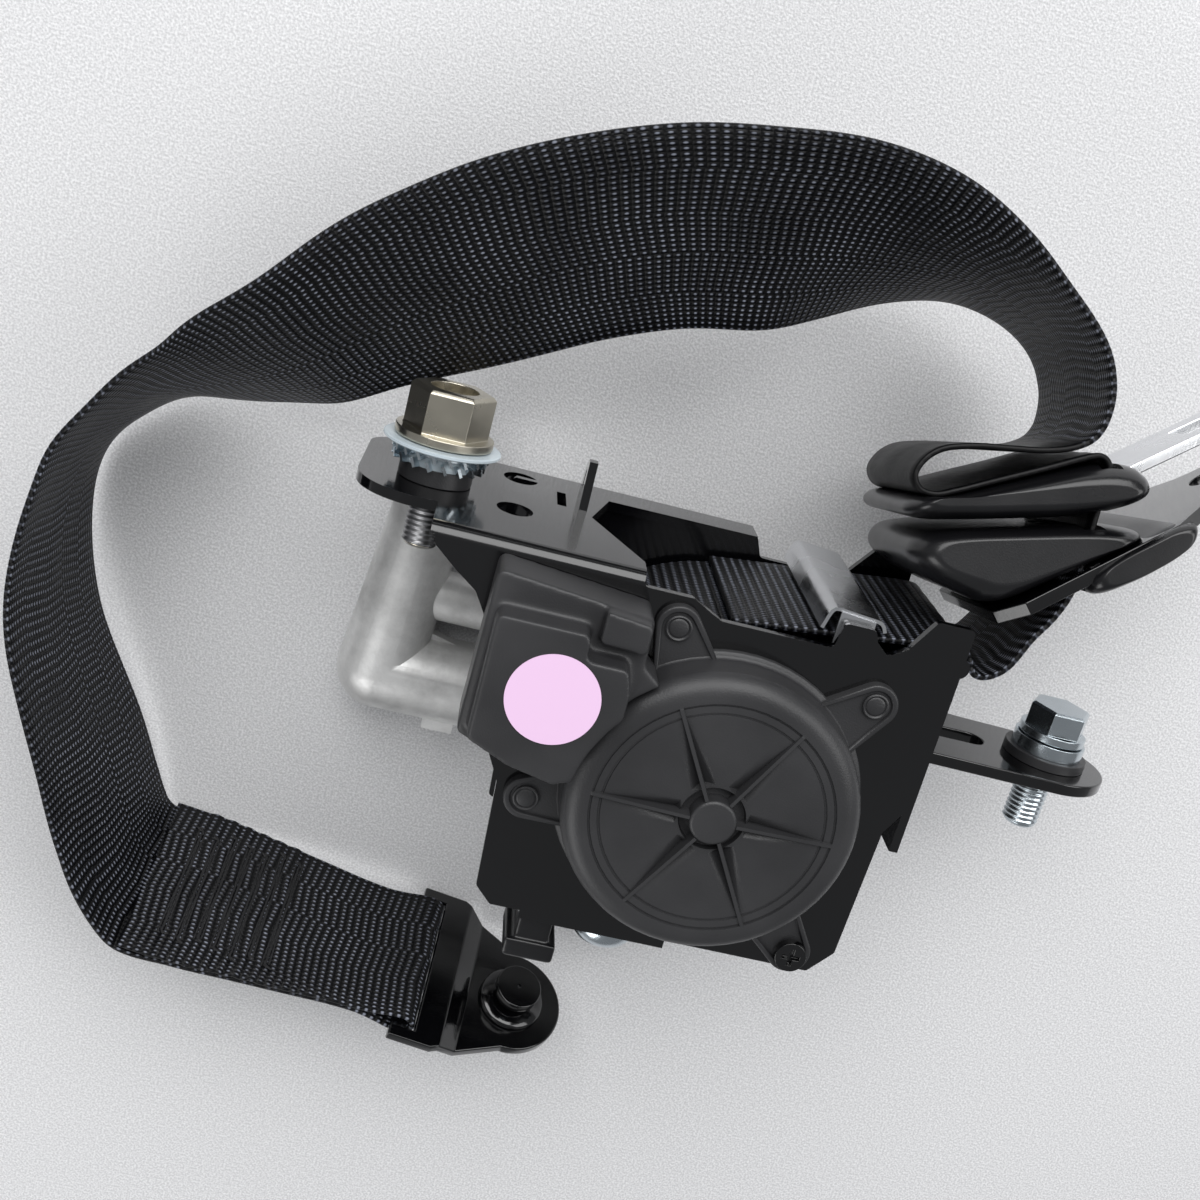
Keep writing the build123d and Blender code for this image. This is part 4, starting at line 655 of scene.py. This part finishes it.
def smoothed(values, reach):
    kernel = np.exp(-0.5 * (np.arange(-2 * reach, 2 * reach + 1) / reach) ** 2)
    kernel /= kernel.sum()
    padded = np.pad(values, ((2 * reach, 2 * reach), (0, 0)), mode="edge")
    return np.stack([np.convolve(padded[:, k], kernel, mode="valid") for k in range(values.shape[1])], axis=1)


def nearest(place):
    return np.linalg.norm(places - place, axis=1).argmin()


# the free part hangs smoother than its stations: sizes in samples of the route
freeSet = {"placeReach": 6, "nearReach": 13, "blend": 12}
freeFrom, freeTo = nearest(freeFirst) - freeSet["placeReach"], nearest(freeLast)
spot = np.arange(len(places))
free = np.clip(np.minimum(spot - freeFrom, freeTo - spot) / freeSet["blend"], 0, 1)[:, None]
places = places * (1 - free) + smoothed(places, freeSet["placeReach"]) * free
nears = nears * (1 - free) + smoothed(nears, freeSet["nearReach"]) * free
exitEnd = nearest(inStack(*runBottom))
foldEnd = nearest(inStack(*foldLast))
alongRoute = np.concatenate(([0.0], np.cumsum(np.linalg.norm(np.diff(places, axis=0), axis=1))))
square = np.array([0.0 if k < exitEnd else 1.0 for k in range(len(places))])
strapMeshData, strapLength = strapMesh("webbingStrap", places, nears, widths, webThick, square)
rubbedFrom, rubbedTo = alongRoute[exitEnd] * mm, (alongRoute[foldEnd] - strapSet["foldInset"]) * mm
strapLook = webbingLook("strapWeave", strapSet["ribbedTo"] * mm, rubbedFrom, rubbedTo)
strap = makeObject("webbingStrap", strapMeshData, strapLook, "retractor_body", ["webbing"])
print("strap made", round(strapLength), "mm long,", len(strapMeshData.polygons), "faces")

# wound strap on the spool: one spiral strip that ends where the strap leaves it
rollSet = {"inner": 20.8, "outer": 37.4, "pitch": 1.24, "stepAngle": 7.5, "width": 46.6, "thick": 1.1,
           "middle": 50.0, "drift": ((0.14, 11.0), (0.1, 4.1)), "ribbedTo": 5000.0}
turns = (rollSet["outer"] - rollSet["inner"]) / rollSet["pitch"]
count = int(turns * 360 / rollSet["stepAngle"])
rollPlaces = []
for k in range(count + 1):
    turnsLeft = turns * (1 - k / count)
    radius = rollSet["outer"] - turnsLeft * rollSet["pitch"]
    drift = sum(size * math.sin(turnsLeft * rate) for size, rate in rollSet["drift"]) * min(1.0, turnsLeft)
    spiral = circlePoint((0, 0), radius, exitAngle + turnsLeft * 360)
    rollPlaces.append((*spiral, rollSet["middle"] + drift))
samples = len(rollPlaces)
rollWidths = [rollSet["width"]] * samples
rollMesh, rollLength = strapMesh("webbingRoll", np.array(rollPlaces), [zUp] * samples, rollWidths,
                                 rollSet["thick"], np.ones(samples))
rollLook = webbingLook("rollWeave", rollSet["ribbedTo"] * mm)
makeObject("webbingRoll", rollMesh, rollLook, "spool_body", ["webbing_roll"])
print("roll made", round(rollLength), "mm of strap")

# moulded lobes of the D-ring and the tongue: a smooth profile whose ends are rounded
lobeSet = {
    "tongueGrip": {
        "node": "tongue_grip", "half": 28.0, "round": 9.0,
        "outline": [(-27.5, 2.6), (-25.5, -0.2), (-16, -0.6), (-4, -0.6), (6, -0.6), (16, 0.2), (24, 2.4),
                    (26.4, 5.4), (24, 9.4), (19, 10.9), (13, 10.7), (8, 9.9), (-6, 6.9), (-18, 4.3), (-24, 4.9)],
    },
    "ringLobe": {
        "node": "ring_cover", "half": 28.0, "round": 10.0,
        "outline": [(-8, -19.6), (-16.5, -15.8), (-23.5, -12), (-26.6, -7.4), (-24, -3.4), (-18, -2.4), (-4, -2.3),
                    (8, -2.3), (17, -2.5), (23.5, -3.4), (25, -5.2), (17, -8.6), (5, -14)],
    },
    "ringShell": {
        "node": "ring_cover", "half": 30.0, "round": 5.0,
        "outline": [(10.6, -13), (11.6, -17.6), (20.5, -14.3), (26, -11.4), (30, -9), (34, -5.7), (34.6, -1.6),
                    (30, -1.9), (25, -4.6), (17.5, -8.4)],
    },
}


def smoothLoop(points, rounds):
    for _ in range(rounds):
        following = points[1:] + points[:1]
        points = [
            tuple(a * (1 - share) + b * share for a, b in zip(one, two))
            for one, two in zip(points, following) for share in (0.25, 0.75)
        ]
    return points


def lobeMesh(name, outline, half, roundness):
    loop = smoothLoop(outline, 3)
    middleU = sum(u for u, v in loop) / len(loop)
    middleV = sum(v for u, v in loop) / len(loop)
    reachU = max(abs(u - middleU) for u, v in loop)
    reachV = max(abs(v - middleV) for u, v in loop)
    arcs = [rad(angle) for angle in range(0, 91, 10)]
    layers = [(-half + roundness * (1 - math.cos(a)), roundness * (1 - math.sin(a))) for a in arcs]
    layers += [(-half * share, 0.0) for share in (0.45, 0.2)]
    layers += [(-w, inset) for w, inset in reversed(layers)]
    verts = []
    for w, inset in layers:
        shrinkU, shrinkV = 1 - inset * 0.62 / reachU, 1 - inset * 0.5 / reachV
        for u, v in loop:
            place = inStack(middleU + (u - middleU) * shrinkU, middleV + (v - middleV) * shrinkV, w)
            verts.append(place * mm)
    count, corners = len(layers), len(loop)
    return meshOf(name, verts, ringFaces(count, corners) + endFaces(count, corners))


# the strap's slot through the lobes, as a box along the straight run
slotSet = {"length": 49.4, "half": 2.3, "before": 12, "after": 50}
slotStart, slotEnd = runLow - runStep * slotSet["before"], runLow + runStep * slotSet["after"]
slotSide = runSide * slotSet["half"]
slotCorners = [
    inStack(*corner, w) * mm
    for w in (-slotSet["length"] / 2, slotSet["length"] / 2)
    for corner in (slotStart - slotSide, slotStart + slotSide, slotEnd + slotSide, slotEnd - slotSide)
]
slotFaces = [(0, 1, 2, 3), (7, 6, 5, 4), (0, 4, 5, 1), (1, 5, 6, 2), (2, 6, 7, 3), (3, 7, 4, 0)]
slotBox = fixNormals(meshOf("slotBox", slotCorners, slotFaces, smooth=False))
for name, values in lobeSet.items():
    lobe = linked(name, fixNormals(lobeMesh(name, values["outline"], values["half"], values["round"])))
    cutter = linked("slotCutter", slotBox)
    cut = lobe.modifiers.new("slot", "BOOLEAN")
    cut.object = cutter
    cut.operation = "DIFFERENCE"
    cut.solver = "EXACT"
    mesh = applied(lobe)
    bpy.data.objects.remove(cutter)
    shadeSmooth(mesh)
    mesh.set_sharp_from_angle(angle=rad(40))
    node = values["node"]
    makeObject(name, mesh, looks["gloss_moulding"], bodyOf(node), [node], True)
print("moulded lobes made")


# round cover: one polar mesh, with ribs that run from the hub across the dish
coverSet = {"ribs": 6, "ribHalf": 0.38, "footHalf": 0.52, "hub": 5.1, "recess": 7.3, "dishEdge": 24.0,
            "ribEnd": 26.6, "ribRise": 1.15, "shoulder": 28.2, "round": 4.3, "between": 8, "top": 91.0, "foot": 78.0}


def coverRings():
    top, foot, recess, dishEdge = (coverSet[key] for key in ("top", "foot", "recess", "dishEdge"))
    shoulder, bulge = coverSet["shoulder"], coverSet["round"]
    rings = []
    for r, z in ((4.3, 1.6), (4.9, 1.4), (coverSet["hub"], 0.9), (5.15, -2.4), (7.0, -2.5), (7.2, -2.3),
                 (recess, -0.75)):
        rings.append((r, top + z, None))
    for r in (8.2, 11, 14, 17, 20, 22.5, dishEdge):
        far = (r - recess) / (dishEdge - recess)
        rings.append((r, top - 0.75 + 0.3 * far, (1.7 * (1 - far), 2.1 * (1 - far) + 0.1)))
    for r, z in ((24.15, -0.75), (24.5, -0.75), (24.65, -0.35), (26.1, -0.3), (26.25, -0.6), (26.55, -0.6),
                 (coverSet["ribEnd"] + 0.1, -0.05), (27.2, 0.0), (shoulder, 0.0)):
        rings.append((r, top + z, None))
    for angle in range(78, -1, -13):
        r, z = circlePoint((shoulder, top - bulge), bulge, angle)
        rings.append((r, z, None))
    for r, z in ((32.5, 2.4), (32.8, 1.8), (33.3, 1.55), (33.9, 1.4), (34.1, 1.1), (34.1, 0), (30.7, 0), (30.7, 9.4)):
        rings.append((r, foot + z, None))
    return rings


def coverMesh():
    rings = coverRings()
    ribs, between, top, ribEnd = (coverSet[key] for key in ("ribs", "between", "top", "ribEnd"))
    verts = [(0, 0, (top + 1.6) * mm)]
    for r, z, groove in rings:
        ribTop = top + coverSet["ribRise"] * max(0.0, (ribEnd - r) / (ribEnd - coverSet["hub"])) + 0.02
        ribbed = coverSet["hub"] < r < ribEnd
        depth, spread = groove or (0.0, 0.5)
        for rib in range(ribs):
            base = rib * math.tau / ribs
            half, foot = math.asin(coverSet["ribHalf"] / r), math.asin(coverSet["footHalf"] / r)
            edge = math.asin(min(0.45, (coverSet["footHalf"] + spread) / r))
            crest = ribTop if ribbed else z
            columns = [(-edge, z), (-foot, z - depth), (-half, crest), (half, crest), (foot, z - depth), (edge, z)]
            rest = math.tau / ribs - 2 * edge
            columns += [(edge + rest * (k + 1) / (between + 1), z) for k in range(between)]
            for turn, height in columns:
                verts.append((r * math.cos(base + turn) * mm, r * math.sin(base + turn) * mm, height * mm))
    n = ribs * (6 + between)
    faces = [(0, 1 + i, 1 + (i + 1) % n) for i in range(n)] + ringFaces(len(rings), n, 1)
    faces.append(tuple(1 + (len(rings) - 1) * n + i for i in range(n)))
    return fixNormals(meshOf("springCover", verts, faces))


# a flat ear with a raised rim: rings of one outline, each set in from the last
earSet = {"round": 5.0, "spread": 13.0, "base": 31.6, "sweep": 150, "corners": 15,
          "rings": [(0, 0), (0, 2.0), (0.15, 2.3), (0.45, 2.4), (1.1, 2.4), (1.35, 2.3), (1.6, 1.7)]}


def insetLoop(points, amount):
    moved = []
    for before, here, after in zip(points[-1:] + points[:-1], points, points[1:] + points[:1]):
        first, second = unit(here - before), unit(after - here)
        inward = unit(np.array((-first[1], first[0])) + np.array((-second[1], second[0])))
        moved.append(here + inward * amount)
    return moved


def earMesh(name, reach, angle):
    turn, spread, sweep = rad(angle), rad(earSet["spread"]), rad(earSet["sweep"])
    bases = [earSet["base"] * np.array((math.cos(turn + s), math.sin(turn + s))) for s in (-spread, spread)]
    middle = reach * np.array((math.cos(turn), math.sin(turn)))
    outline = [bases[0]]
    for k in range(earSet["corners"]):
        a = turn - sweep / 2 + sweep * k / (earSet["corners"] - 1)
        outline.append(middle + earSet["round"] * np.array((math.cos(a), math.sin(a))))
    outline.append(bases[1])
    verts = []
    for inset, z in earSet["rings"]:
        for x, y in insetLoop(outline, inset):
            verts.append((x * mm, y * mm, (coverSet["foot"] + z) * mm))
    count, corners = len(earSet["rings"]), len(outline)
    return fixNormals(meshOf(name, verts, ringFaces(count, corners) + endFaces(count, corners), smooth=False))


# reach and angle of each ear; the first three hold rivets
ears = [(40.1, 114.6), (41.7, 45.0), (39.7, 193.9), (43.9, -48.7)]
coverParts = [coverMesh()] + [earMesh("ear", reach, angle) for reach, angle in ears]
coverData = joined("springCover", coverParts)
coverData.set_sharp_from_angle(angle=rad(50))
makeObject("springCover", coverData, looks["black_plastic"], "retractor_body",
           ["spring_cover"], True)

# mouldings: the CAD node with every edge rounded off
mouldSet = {
    "sensor_cover": {"voxel": 0.0004, "rounds": 20, "keep": 0.3, "look": "black_plastic"},
    "lower_clip": {"voxel": 0.0003, "rounds": 16, "keep": 0.3, "look": "gloss_moulding"},
}
for name, values in mouldSet.items():
    mould = linked(name, nodes[name].data.copy())
    remesh = mould.modifiers.new("voxels", "REMESH")
    remesh.mode = "VOXEL"
    remesh.voxel_size = values["voxel"]
    rounding = mould.modifiers.new("rounding", "SMOOTH")
    rounding.iterations = values["rounds"]
    mould.modifiers.new("fewer", "DECIMATE").ratio = values["keep"]
    mouldData = applied(mould)
    shadeSmooth(mouldData)
    makeObject(camelName(name), mouldData, looks[values["look"]], bodyOf(name), [name])
print("covers made")


# Geometry Nodes: small pieces repeated along a drawn line
class Graph:
    def __init__(self, name, inputs):
        self.tree = bpy.data.node_groups.new(name, "GeometryNodeTree")
        self.tree.interface.new_socket("Geometry", in_out="INPUT", socket_type="NodeSocketGeometry")
        for label, value in inputs.items():
            made = self.tree.interface.new_socket(label, in_out="INPUT", socket_type="NodeSocketFloat")
            made.default_value = value
        self.tree.interface.new_socket("Geometry", in_out="OUTPUT", socket_type="NodeSocketGeometry")
        self.start = self.tree.nodes.new("NodeGroupInput")
        self.end = self.tree.nodes.new("NodeGroupOutput")

    def add(self, kind, inputs=None, output=0, **settings):
        node = self.tree.nodes.new(kind)
        for name, value in settings.items():
            setattr(node, name, value)
        for key, value in (inputs or {}).items():
            if isinstance(value, bpy.types.NodeSocket):
                self.tree.links.new(value, node.inputs[key])
            else:
                node.inputs[key].default_value = value
        return node.outputs[output]

    def along(self, spacing, item):
        given = self.start.outputs
        curve = self.add("GeometryNodeMeshToCurve", {"Mesh": given["Geometry"]})
        spots = self.add("GeometryNodeCurveToPoints", {"Curve": curve, "Length": given[spacing]}, mode="LENGTH")
        turn = spots.node.outputs["Rotation"]
        return self.add("GeometryNodeInstanceOnPoints", {"Points": spots, "Instance": item, "Rotation": turn})

    def finish(self, geometry, material):
        real = self.add("GeometryNodeRealizeInstances", {"Geometry": geometry})
        painted = self.add("GeometryNodeSetMaterial", {"Geometry": real, "Material": material})
        self.tree.links.new(painted, self.end.inputs[0])


def grow(name, drawn, graph, sizes):
    piece = linked(name, drawn)
    modifier = piece.modifiers.new("grow", "NODES")
    modifier.node_group = graph.tree
    for item in graph.tree.interface.items_tree:
        if item.in_out == "INPUT" and item.name in sizes:
            modifier[item.identifier] = sizes[item.name]
    return applied(piece)


# seam at the sewn end: rows of zigzag stitches, each stitch a short thread
seamSet = {"rows": 7, "firstT": puckerSet["firstT"], "rowStep": puckerSet["step"], "halfWidth": 17.0,
           "zigzag": 0.95, "pitch": 0.9, "threadRadius": 0.36, "lift": 0.2, "waver": 1.2, "overlap": 1.15}
seamVerts, seamEdges = [], []
for row in range(seamSet["rows"]):
    steps = int(2 * seamSet["halfWidth"] / seamSet["pitch"])
    for k in range(steps + 1):
        zigzag = seamSet["zigzag"] if k % 2 else -seamSet["zigzag"]
        t = seamSet["firstT"] + row * seamSet["rowStep"] + zigzag
        if k:
            seamEdges.append((len(seamVerts) - 1, len(seamVerts)))
        w = -seamSet["halfWidth"] + k * seamSet["pitch"]
        waver = seamSet["waver"] * math.sin(row * 2.1)
        seamVerts.append(tuple(onAnchor(t, layerN + webThick / 2 + seamSet["lift"], w + waver) * mm))
seamLine = bpy.data.meshes.new("seamLine")
seamLine.from_pydata(seamVerts, seamEdges, [])
seam = Graph("seamGraph", {"Stitch Length": 0.0015, "Thread Radius": 0.0003})
seamSizes = {
    "Stitch Length": seamSet["pitch"] * seamSet["overlap"] * mm,
    "Thread Radius": seamSet["threadRadius"] * mm,
}
threadRadius = seam.start.outputs["Thread Radius"]
thread = seam.add("GeometryNodeMeshUVSphere", {"Segments": 8, "Rings": 5, "Radius": threadRadius})
longThread = seam.add("GeometryNodeTransform", {"Geometry": thread, "Scale": (0.8, 1.0, 3.2)})
seam.finish(seam.along("Stitch Length", longThread), threadLook)
makeObject("sewnSeam", grow("sewnSeam", seamLine, seam, seamSizes), threadLook, "retractor_body")
print("seam made")


# retainer of the upper bolt: a clear disc over two rings of bright teeth
retainerSet = {"bore": 5.0, "sleeve": 8.7, "sleeveLow": 50.0, "disc": 13.5, "discLow": 54.1, "discHigh": 55.2,
               "teeth": 18, "toothRings": [(9.4, 50.9), (9.9, 53.0)], "toothSize": (2.6, 2.2, 0.7), "tilt": 0.5,
               "plateBore": 5.2, "plateInset": 0.9, "plateHalf": 0.35}
boltMiddle = np.array((-74.0, 0.0, 44.0))


# a closed profile of (radius, height) turned round an axis, which place() puts in the frame
def spunMesh(name, place, profile, segments=48):
    verts = []
    for k in range(segments):
        a = k / segments * math.tau
        for r, height in profile:
            verts.append(place(r * math.cos(a), height, r * math.sin(a)) * mm)
    total = len(verts)
    faces = [tuple(corner % total for corner in face) for face in ringFaces(segments + 1, len(profile))]
    mesh = fixNormals(meshOf(name, verts, faces))
    mesh.set_sharp_from_angle(angle=rad(50))
    return mesh


def underBolt(x, y, z):
    return boltMiddle + np.array((x, y, z))


bore, discEdge, sleeveEdge = (retainerSet[key] for key in ("bore", "disc", "sleeve"))
discLow, discHigh, sleeveLow = (retainerSet[key] for key in ("discLow", "discHigh", "sleeveLow"))
disc = spunMesh("retainerDisc", underBolt, [
    (bore, discLow), (discEdge - 0.4, discLow), (discEdge, discLow + 0.3), (discEdge, discHigh - 0.3),
    (discEdge - 0.4, discHigh), (bore, discHigh)])
sleeve = spunMesh("sleeve", underBolt, [
    (bore, sleeveLow), (sleeveEdge, sleeveLow), (sleeveEdge, discLow), (bore, discLow)])
retainerData = joined("retainerDisc", [disc, sleeve])
retainerData.set_sharp_from_angle(angle=rad(50))
makeObject("retainerDisc", retainerData, looks["clear_plastic"], "retractor_body",
           ["bolt_retainer"], True)
ringVerts, ringEdges = [], []
toothCount = retainerSet["teeth"]
for radius, y in retainerSet["toothRings"]:
    first = len(ringVerts)
    for k in range(toothCount):
        a = k / toothCount * math.tau
        ringVerts.append(tuple(underBolt(radius * math.cos(a), y, radius * math.sin(a)) * mm))
        ringEdges.append((first + k, first + (k + 1) % toothCount))
toothLine = bpy.data.meshes.new("toothLine")
toothLine.from_pydata(ringVerts, ringEdges, [])
teeth = Graph("teethGraph", {"Spacing": 0.003})
tooth = teeth.add("GeometryNodeMeshCube", {"Size": [v * mm for v in retainerSet["toothSize"]]})
tipped = teeth.add("GeometryNodeTransform", {"Geometry": tooth, "Rotation": (retainerSet["tilt"], 0.0, 0.0)})
teeth.finish(teeth.along("Spacing", tipped), blueZinc)
toothSpacing = retainerSet["toothRings"][0][0] * math.tau / toothCount * mm
toothData = grow("toothedWasher", toothLine, teeth, {"Spacing": toothSpacing})
toothRings = []
for radius, y in retainerSet["toothRings"]:
    inner, outer = retainerSet["plateBore"], radius - retainerSet["plateInset"]
    under, over = y - retainerSet["plateHalf"], y + retainerSet["plateHalf"]
    section = [(inner, under), (outer, under), (outer, over), (inner, over)]
    toothRings.append(spunMesh("toothRing", underBolt, section))
washerData = joined("toothedWasher", [toothData, *toothRings])
makeObject("toothedWasher", washerData, blueZinc, "retractor_body")
print("retainer made")

# anchor bolt: flange, ringed neck and flat round cap over the CAD's shoulder and shank
anchorReach = 29.0
tiny = 0.02
boltProfile = [(tiny, -16.0), (3.4, -16.0), (4.0, -15.4), (4.0, -7.3), (4.6, -7.1), (4.6, -5.8), (5.5, -5.8),
               (5.5, -2.2), (8.8, -2.2), (9.0, -2.0), (9.0, -1.4), (8.5, -0.9), (7.2, -0.4), (5.6, -0.1)]
for neckRing in range(3):
    foot = 0.1 + neckRing * 0.65
    boltProfile += [(4.5, foot), (4.9, foot + 0.2), (4.9, foot + 0.4), (4.5, foot + 0.6)]
boltProfile += [(4.6, 2.1), (5.9, 2.4), (6.3, 2.8), (6.3, 5.0), (6.15, 5.22), (5.9, 5.3), (0.6, 5.3), (0.4, 5.1),
                (tiny, 5.1)]


def onBolt(x, y, z):
    return onAnchor(anchorReach + x, y, z)


boltData = spunMesh("anchorBolt", onBolt, boltProfile)
makeObject("anchorBolt", boltData, looks["black_steel"], bodyOf("anchor_bolt"),
           ["anchor_bolt"], True)

# rivets: small heads with a ring round them
rivetProfile = [(tiny, 78.0), (2.0, 78.0), (2.0, 79.8), (2.9, 79.8), (2.9, 80.3), (2.6, 80.45), (2.3, 80.3),
                (2.2, 80.1), (2.1, 80.2), (1.7, 80.35), (tiny, 80.4)]


def onEar(reach, angle):
    earX, earY = circlePoint((0, 0), reach, angle)
    return lambda x, height, y: np.array((earX + x, earY + y, height))


heads = [spunMesh("rivet", onEar(reach, angle), rivetProfile, 32) for reach, angle in ears[:3]]
makeObject("coverRivets", joined("coverRivets", heads), looks["black_plastic"], "retractor_body",
           ["cover_rivets"], True)

# guard over the strap's exit: a plate with both edges turned down, and an ear at each wall
guardSet = {
    "thick": 0.8, "from": 24.6, "to": 75.4, "ears": (24.0, 75.2),
    "line": [(14.0, 42.6), (14.6, 45.2), (15.1, 46.7), (15.7, 47.35), (16.6, 47.5), (21, 47.1), (25.6, 46.7),
             (26.5, 46.4), (27.1, 45.8), (27.7, 44.6)],
    "ear": [(17, 38), (25, 38), (25, 46.5), (17, 47.2)],
}


def prism(name, outline, bottom, top):
    n = len(outline)
    verts = [(x * mm, y * mm, z * mm) for z in (bottom, top) for x, y in outline]
    faces = [tuple(range(n))[::-1], tuple(range(n, 2 * n))]
    faces += [(i, (i + 1) % n, n + (i + 1) % n, n + i) for i in range(n)]
    mesh = fixNormals(meshOf(name, verts, faces))
    mesh.set_sharp_from_angle(angle=rad(35))
    return mesh


guardLine = [np.array(point, float) for point in guardSet["line"]]
sides = []
for side in (1, -1):
    for k, here in enumerate(guardLine):
        heading = unit(guardLine[min(k + 1, len(guardLine) - 1)] - guardLine[max(k - 1, 0)])
        sides.append(here + side * guardSet["thick"] / 2 * np.array((-heading[1], heading[0])))
count = len(guardLine)
guardParts = [prism("guard", sides[:count] + sides[count:][::-1], guardSet["from"], guardSet["to"])]
guardParts += [prism("ear", guardSet["ear"], z, z + guardSet["thick"]) for z in guardSet["ears"]]
makeObject("webGuard", joined("webGuard", guardParts), looks["bright_steel"], "retractor_body",
           ["web_guard"], True)
print("small pieces made")

# threads of the bolt ends: a ridge that climbs round the shank
threadSet = {"pitch": 1.25, "low": 4.02, "high": 4.36, "rowsPerTurn": 8, "segments": 40, "endInset": 0.45,
             "endRows": 5}


def threadMesh(name, origin, axis, length):
    axis = unit(np.array(axis, float))
    side = unit(np.cross(axis, (0.3, 0.2, 0.93)))
    other = np.cross(axis, side)
    rows = int(length / threadSet["pitch"] * threadSet["rowsPerTurn"])
    verts = []
    n = threadSet["segments"]
    for row in range(rows + 1):
        taper = min(1.0, row / threadSet["endRows"], (rows - row) / threadSet["endRows"])
        root = threadSet["low"] - threadSet["endInset"] * (1 - taper)
        place = np.array(origin) + axis * (row / rows * length)
        for i in range(n):
            turn = i / n
            phase = (row / threadSet["rowsPerTurn"] - turn) % 1.0
            ridge = 1 - abs(2 * phase - 1)
            radius = root + (threadSet["high"] - threadSet["low"]) * ridge * taper
            spoke = side * math.cos(turn * math.tau) + other * math.sin(turn * math.tau)
            verts.append((place + spoke * radius) * mm)
    return fixNormals(meshOf(name, verts, ringFaces(rows + 1, n) + endFaces(rows + 1, n)))


threads = {
    "upperThread": {"origin": (-74, 43.2, 44), "axis": (0, -1, 0), "length": 12.9,
                    "node": "upper_bolt", "look": looks["steel"]},
    "lowerThread": {"origin": (86, 10.6, 44), "axis": (0, -1, 0), "length": 14.3,
                    "node": "lower_bolt", "look": blueZinc},
    "anchorThread": {"origin": onAnchor(anchorReach, -7.4), "axis": -anchorN, "length": 8.3,
                     "node": "anchor_bolt", "look": looks["steel"]},
}
for name, values in threads.items():
    mesh = threadMesh(name, values["origin"], values["axis"], values["length"])
    makeObject(name, mesh, values["look"], bodyOf(values["node"]))
print("threads made")


# floor and light
floorSet = {"color": (0.62, 0.62, 0.63), "bright": (0.86, 0.86, 0.87), "drop": 0.0006, "half": 3,
            "grain": 1700.0, "relief": 0.0004}
lowest = min(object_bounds()[0].z, 0.0)
half = floorSet["half"]
floorCorners = [(-half, -half, 0), (half, -half, 0), (half, half, 0), (-half, half, 0)]
floorMesh = meshOf("floor", floorCorners, [(0, 1, 2, 3)], smooth=False)
floor = linked("floor", floorMesh)
floor.location = (0, 0, lowest - floorSet["drop"])
floorLook = Look("paleFloor", floorSet["color"], 0.55)
grain = floorLook.noise(floorSet["grain"], 2.0)
speckled = floorLook.mixColor(grain.ramp(0.38, 0.68), floorSet["color"], floorSet["bright"])
floorLook.set("Base Color", speckled)
floorLook.bump(grain, floorSet["relief"], 0.4)
floorMesh.materials.append(floorLook.material)

lights = {
    "key": {"place": (-0.10, 0.95, 0.85), "wide": 1.3, "tall": 1.1, "power": 17.5},
    "fill": {"place": (0.85, 0.35, 0.80), "wide": 0.7, "tall": 0.7, "power": 4.2},
    "rim": {"place": (-0.6, -0.8, 0.75), "wide": 0.7, "tall": 0.7, "power": 4.6},
}
aim = Vector((-0.03, 0.02, 0.04))
for name, values in lights.items():
    data = bpy.data.lights.new(name, "AREA")
    data.shape = "RECTANGLE"
    data.size = values["wide"]
    data.size_y = values["tall"]
    data.energy = values["power"]
    lamp = linked(name, data)
    lamp.location = values["place"]
    lamp.rotation_mode = "QUATERNION"
    lamp.rotation_quaternion = (Vector(values["place"]) - aim).to_track_quat("Z", "Y")

# the world lights the piece weakly, and the camera sees it brighter
world = bpy.data.worlds.new("studio")
bpy.context.scene.world = world
world.use_nodes = True
worldSet = {"color": (0.95, 0.97, 1.0, 1.0), "light": 0.25, "seen": 0.72}
studioTree = world.node_tree
studioLight = studioTree.nodes["Background"]
studioSeen = studioTree.nodes.new("ShaderNodeBackground")
for shader, strength in ((studioLight, worldSet["light"]), (studioSeen, worldSet["seen"])):
    shader.inputs[0].default_value = worldSet["color"]
    shader.inputs[1].default_value = strength
chosen = studioTree.nodes.new("ShaderNodeMixShader")
studioTree.links.new(studioTree.nodes.new("ShaderNodeLightPath").outputs["Is Camera Ray"], chosen.inputs[0])
studioTree.links.new(studioLight.outputs[0], chosen.inputs[1])
studioTree.links.new(studioSeen.outputs[0], chosen.inputs[2])
studioTree.links.new(chosen.outputs[0], studioTree.nodes["World Output"].inputs[0])
bpy.context.scene.view_settings.view_transform = "Standard"
print("stage set")
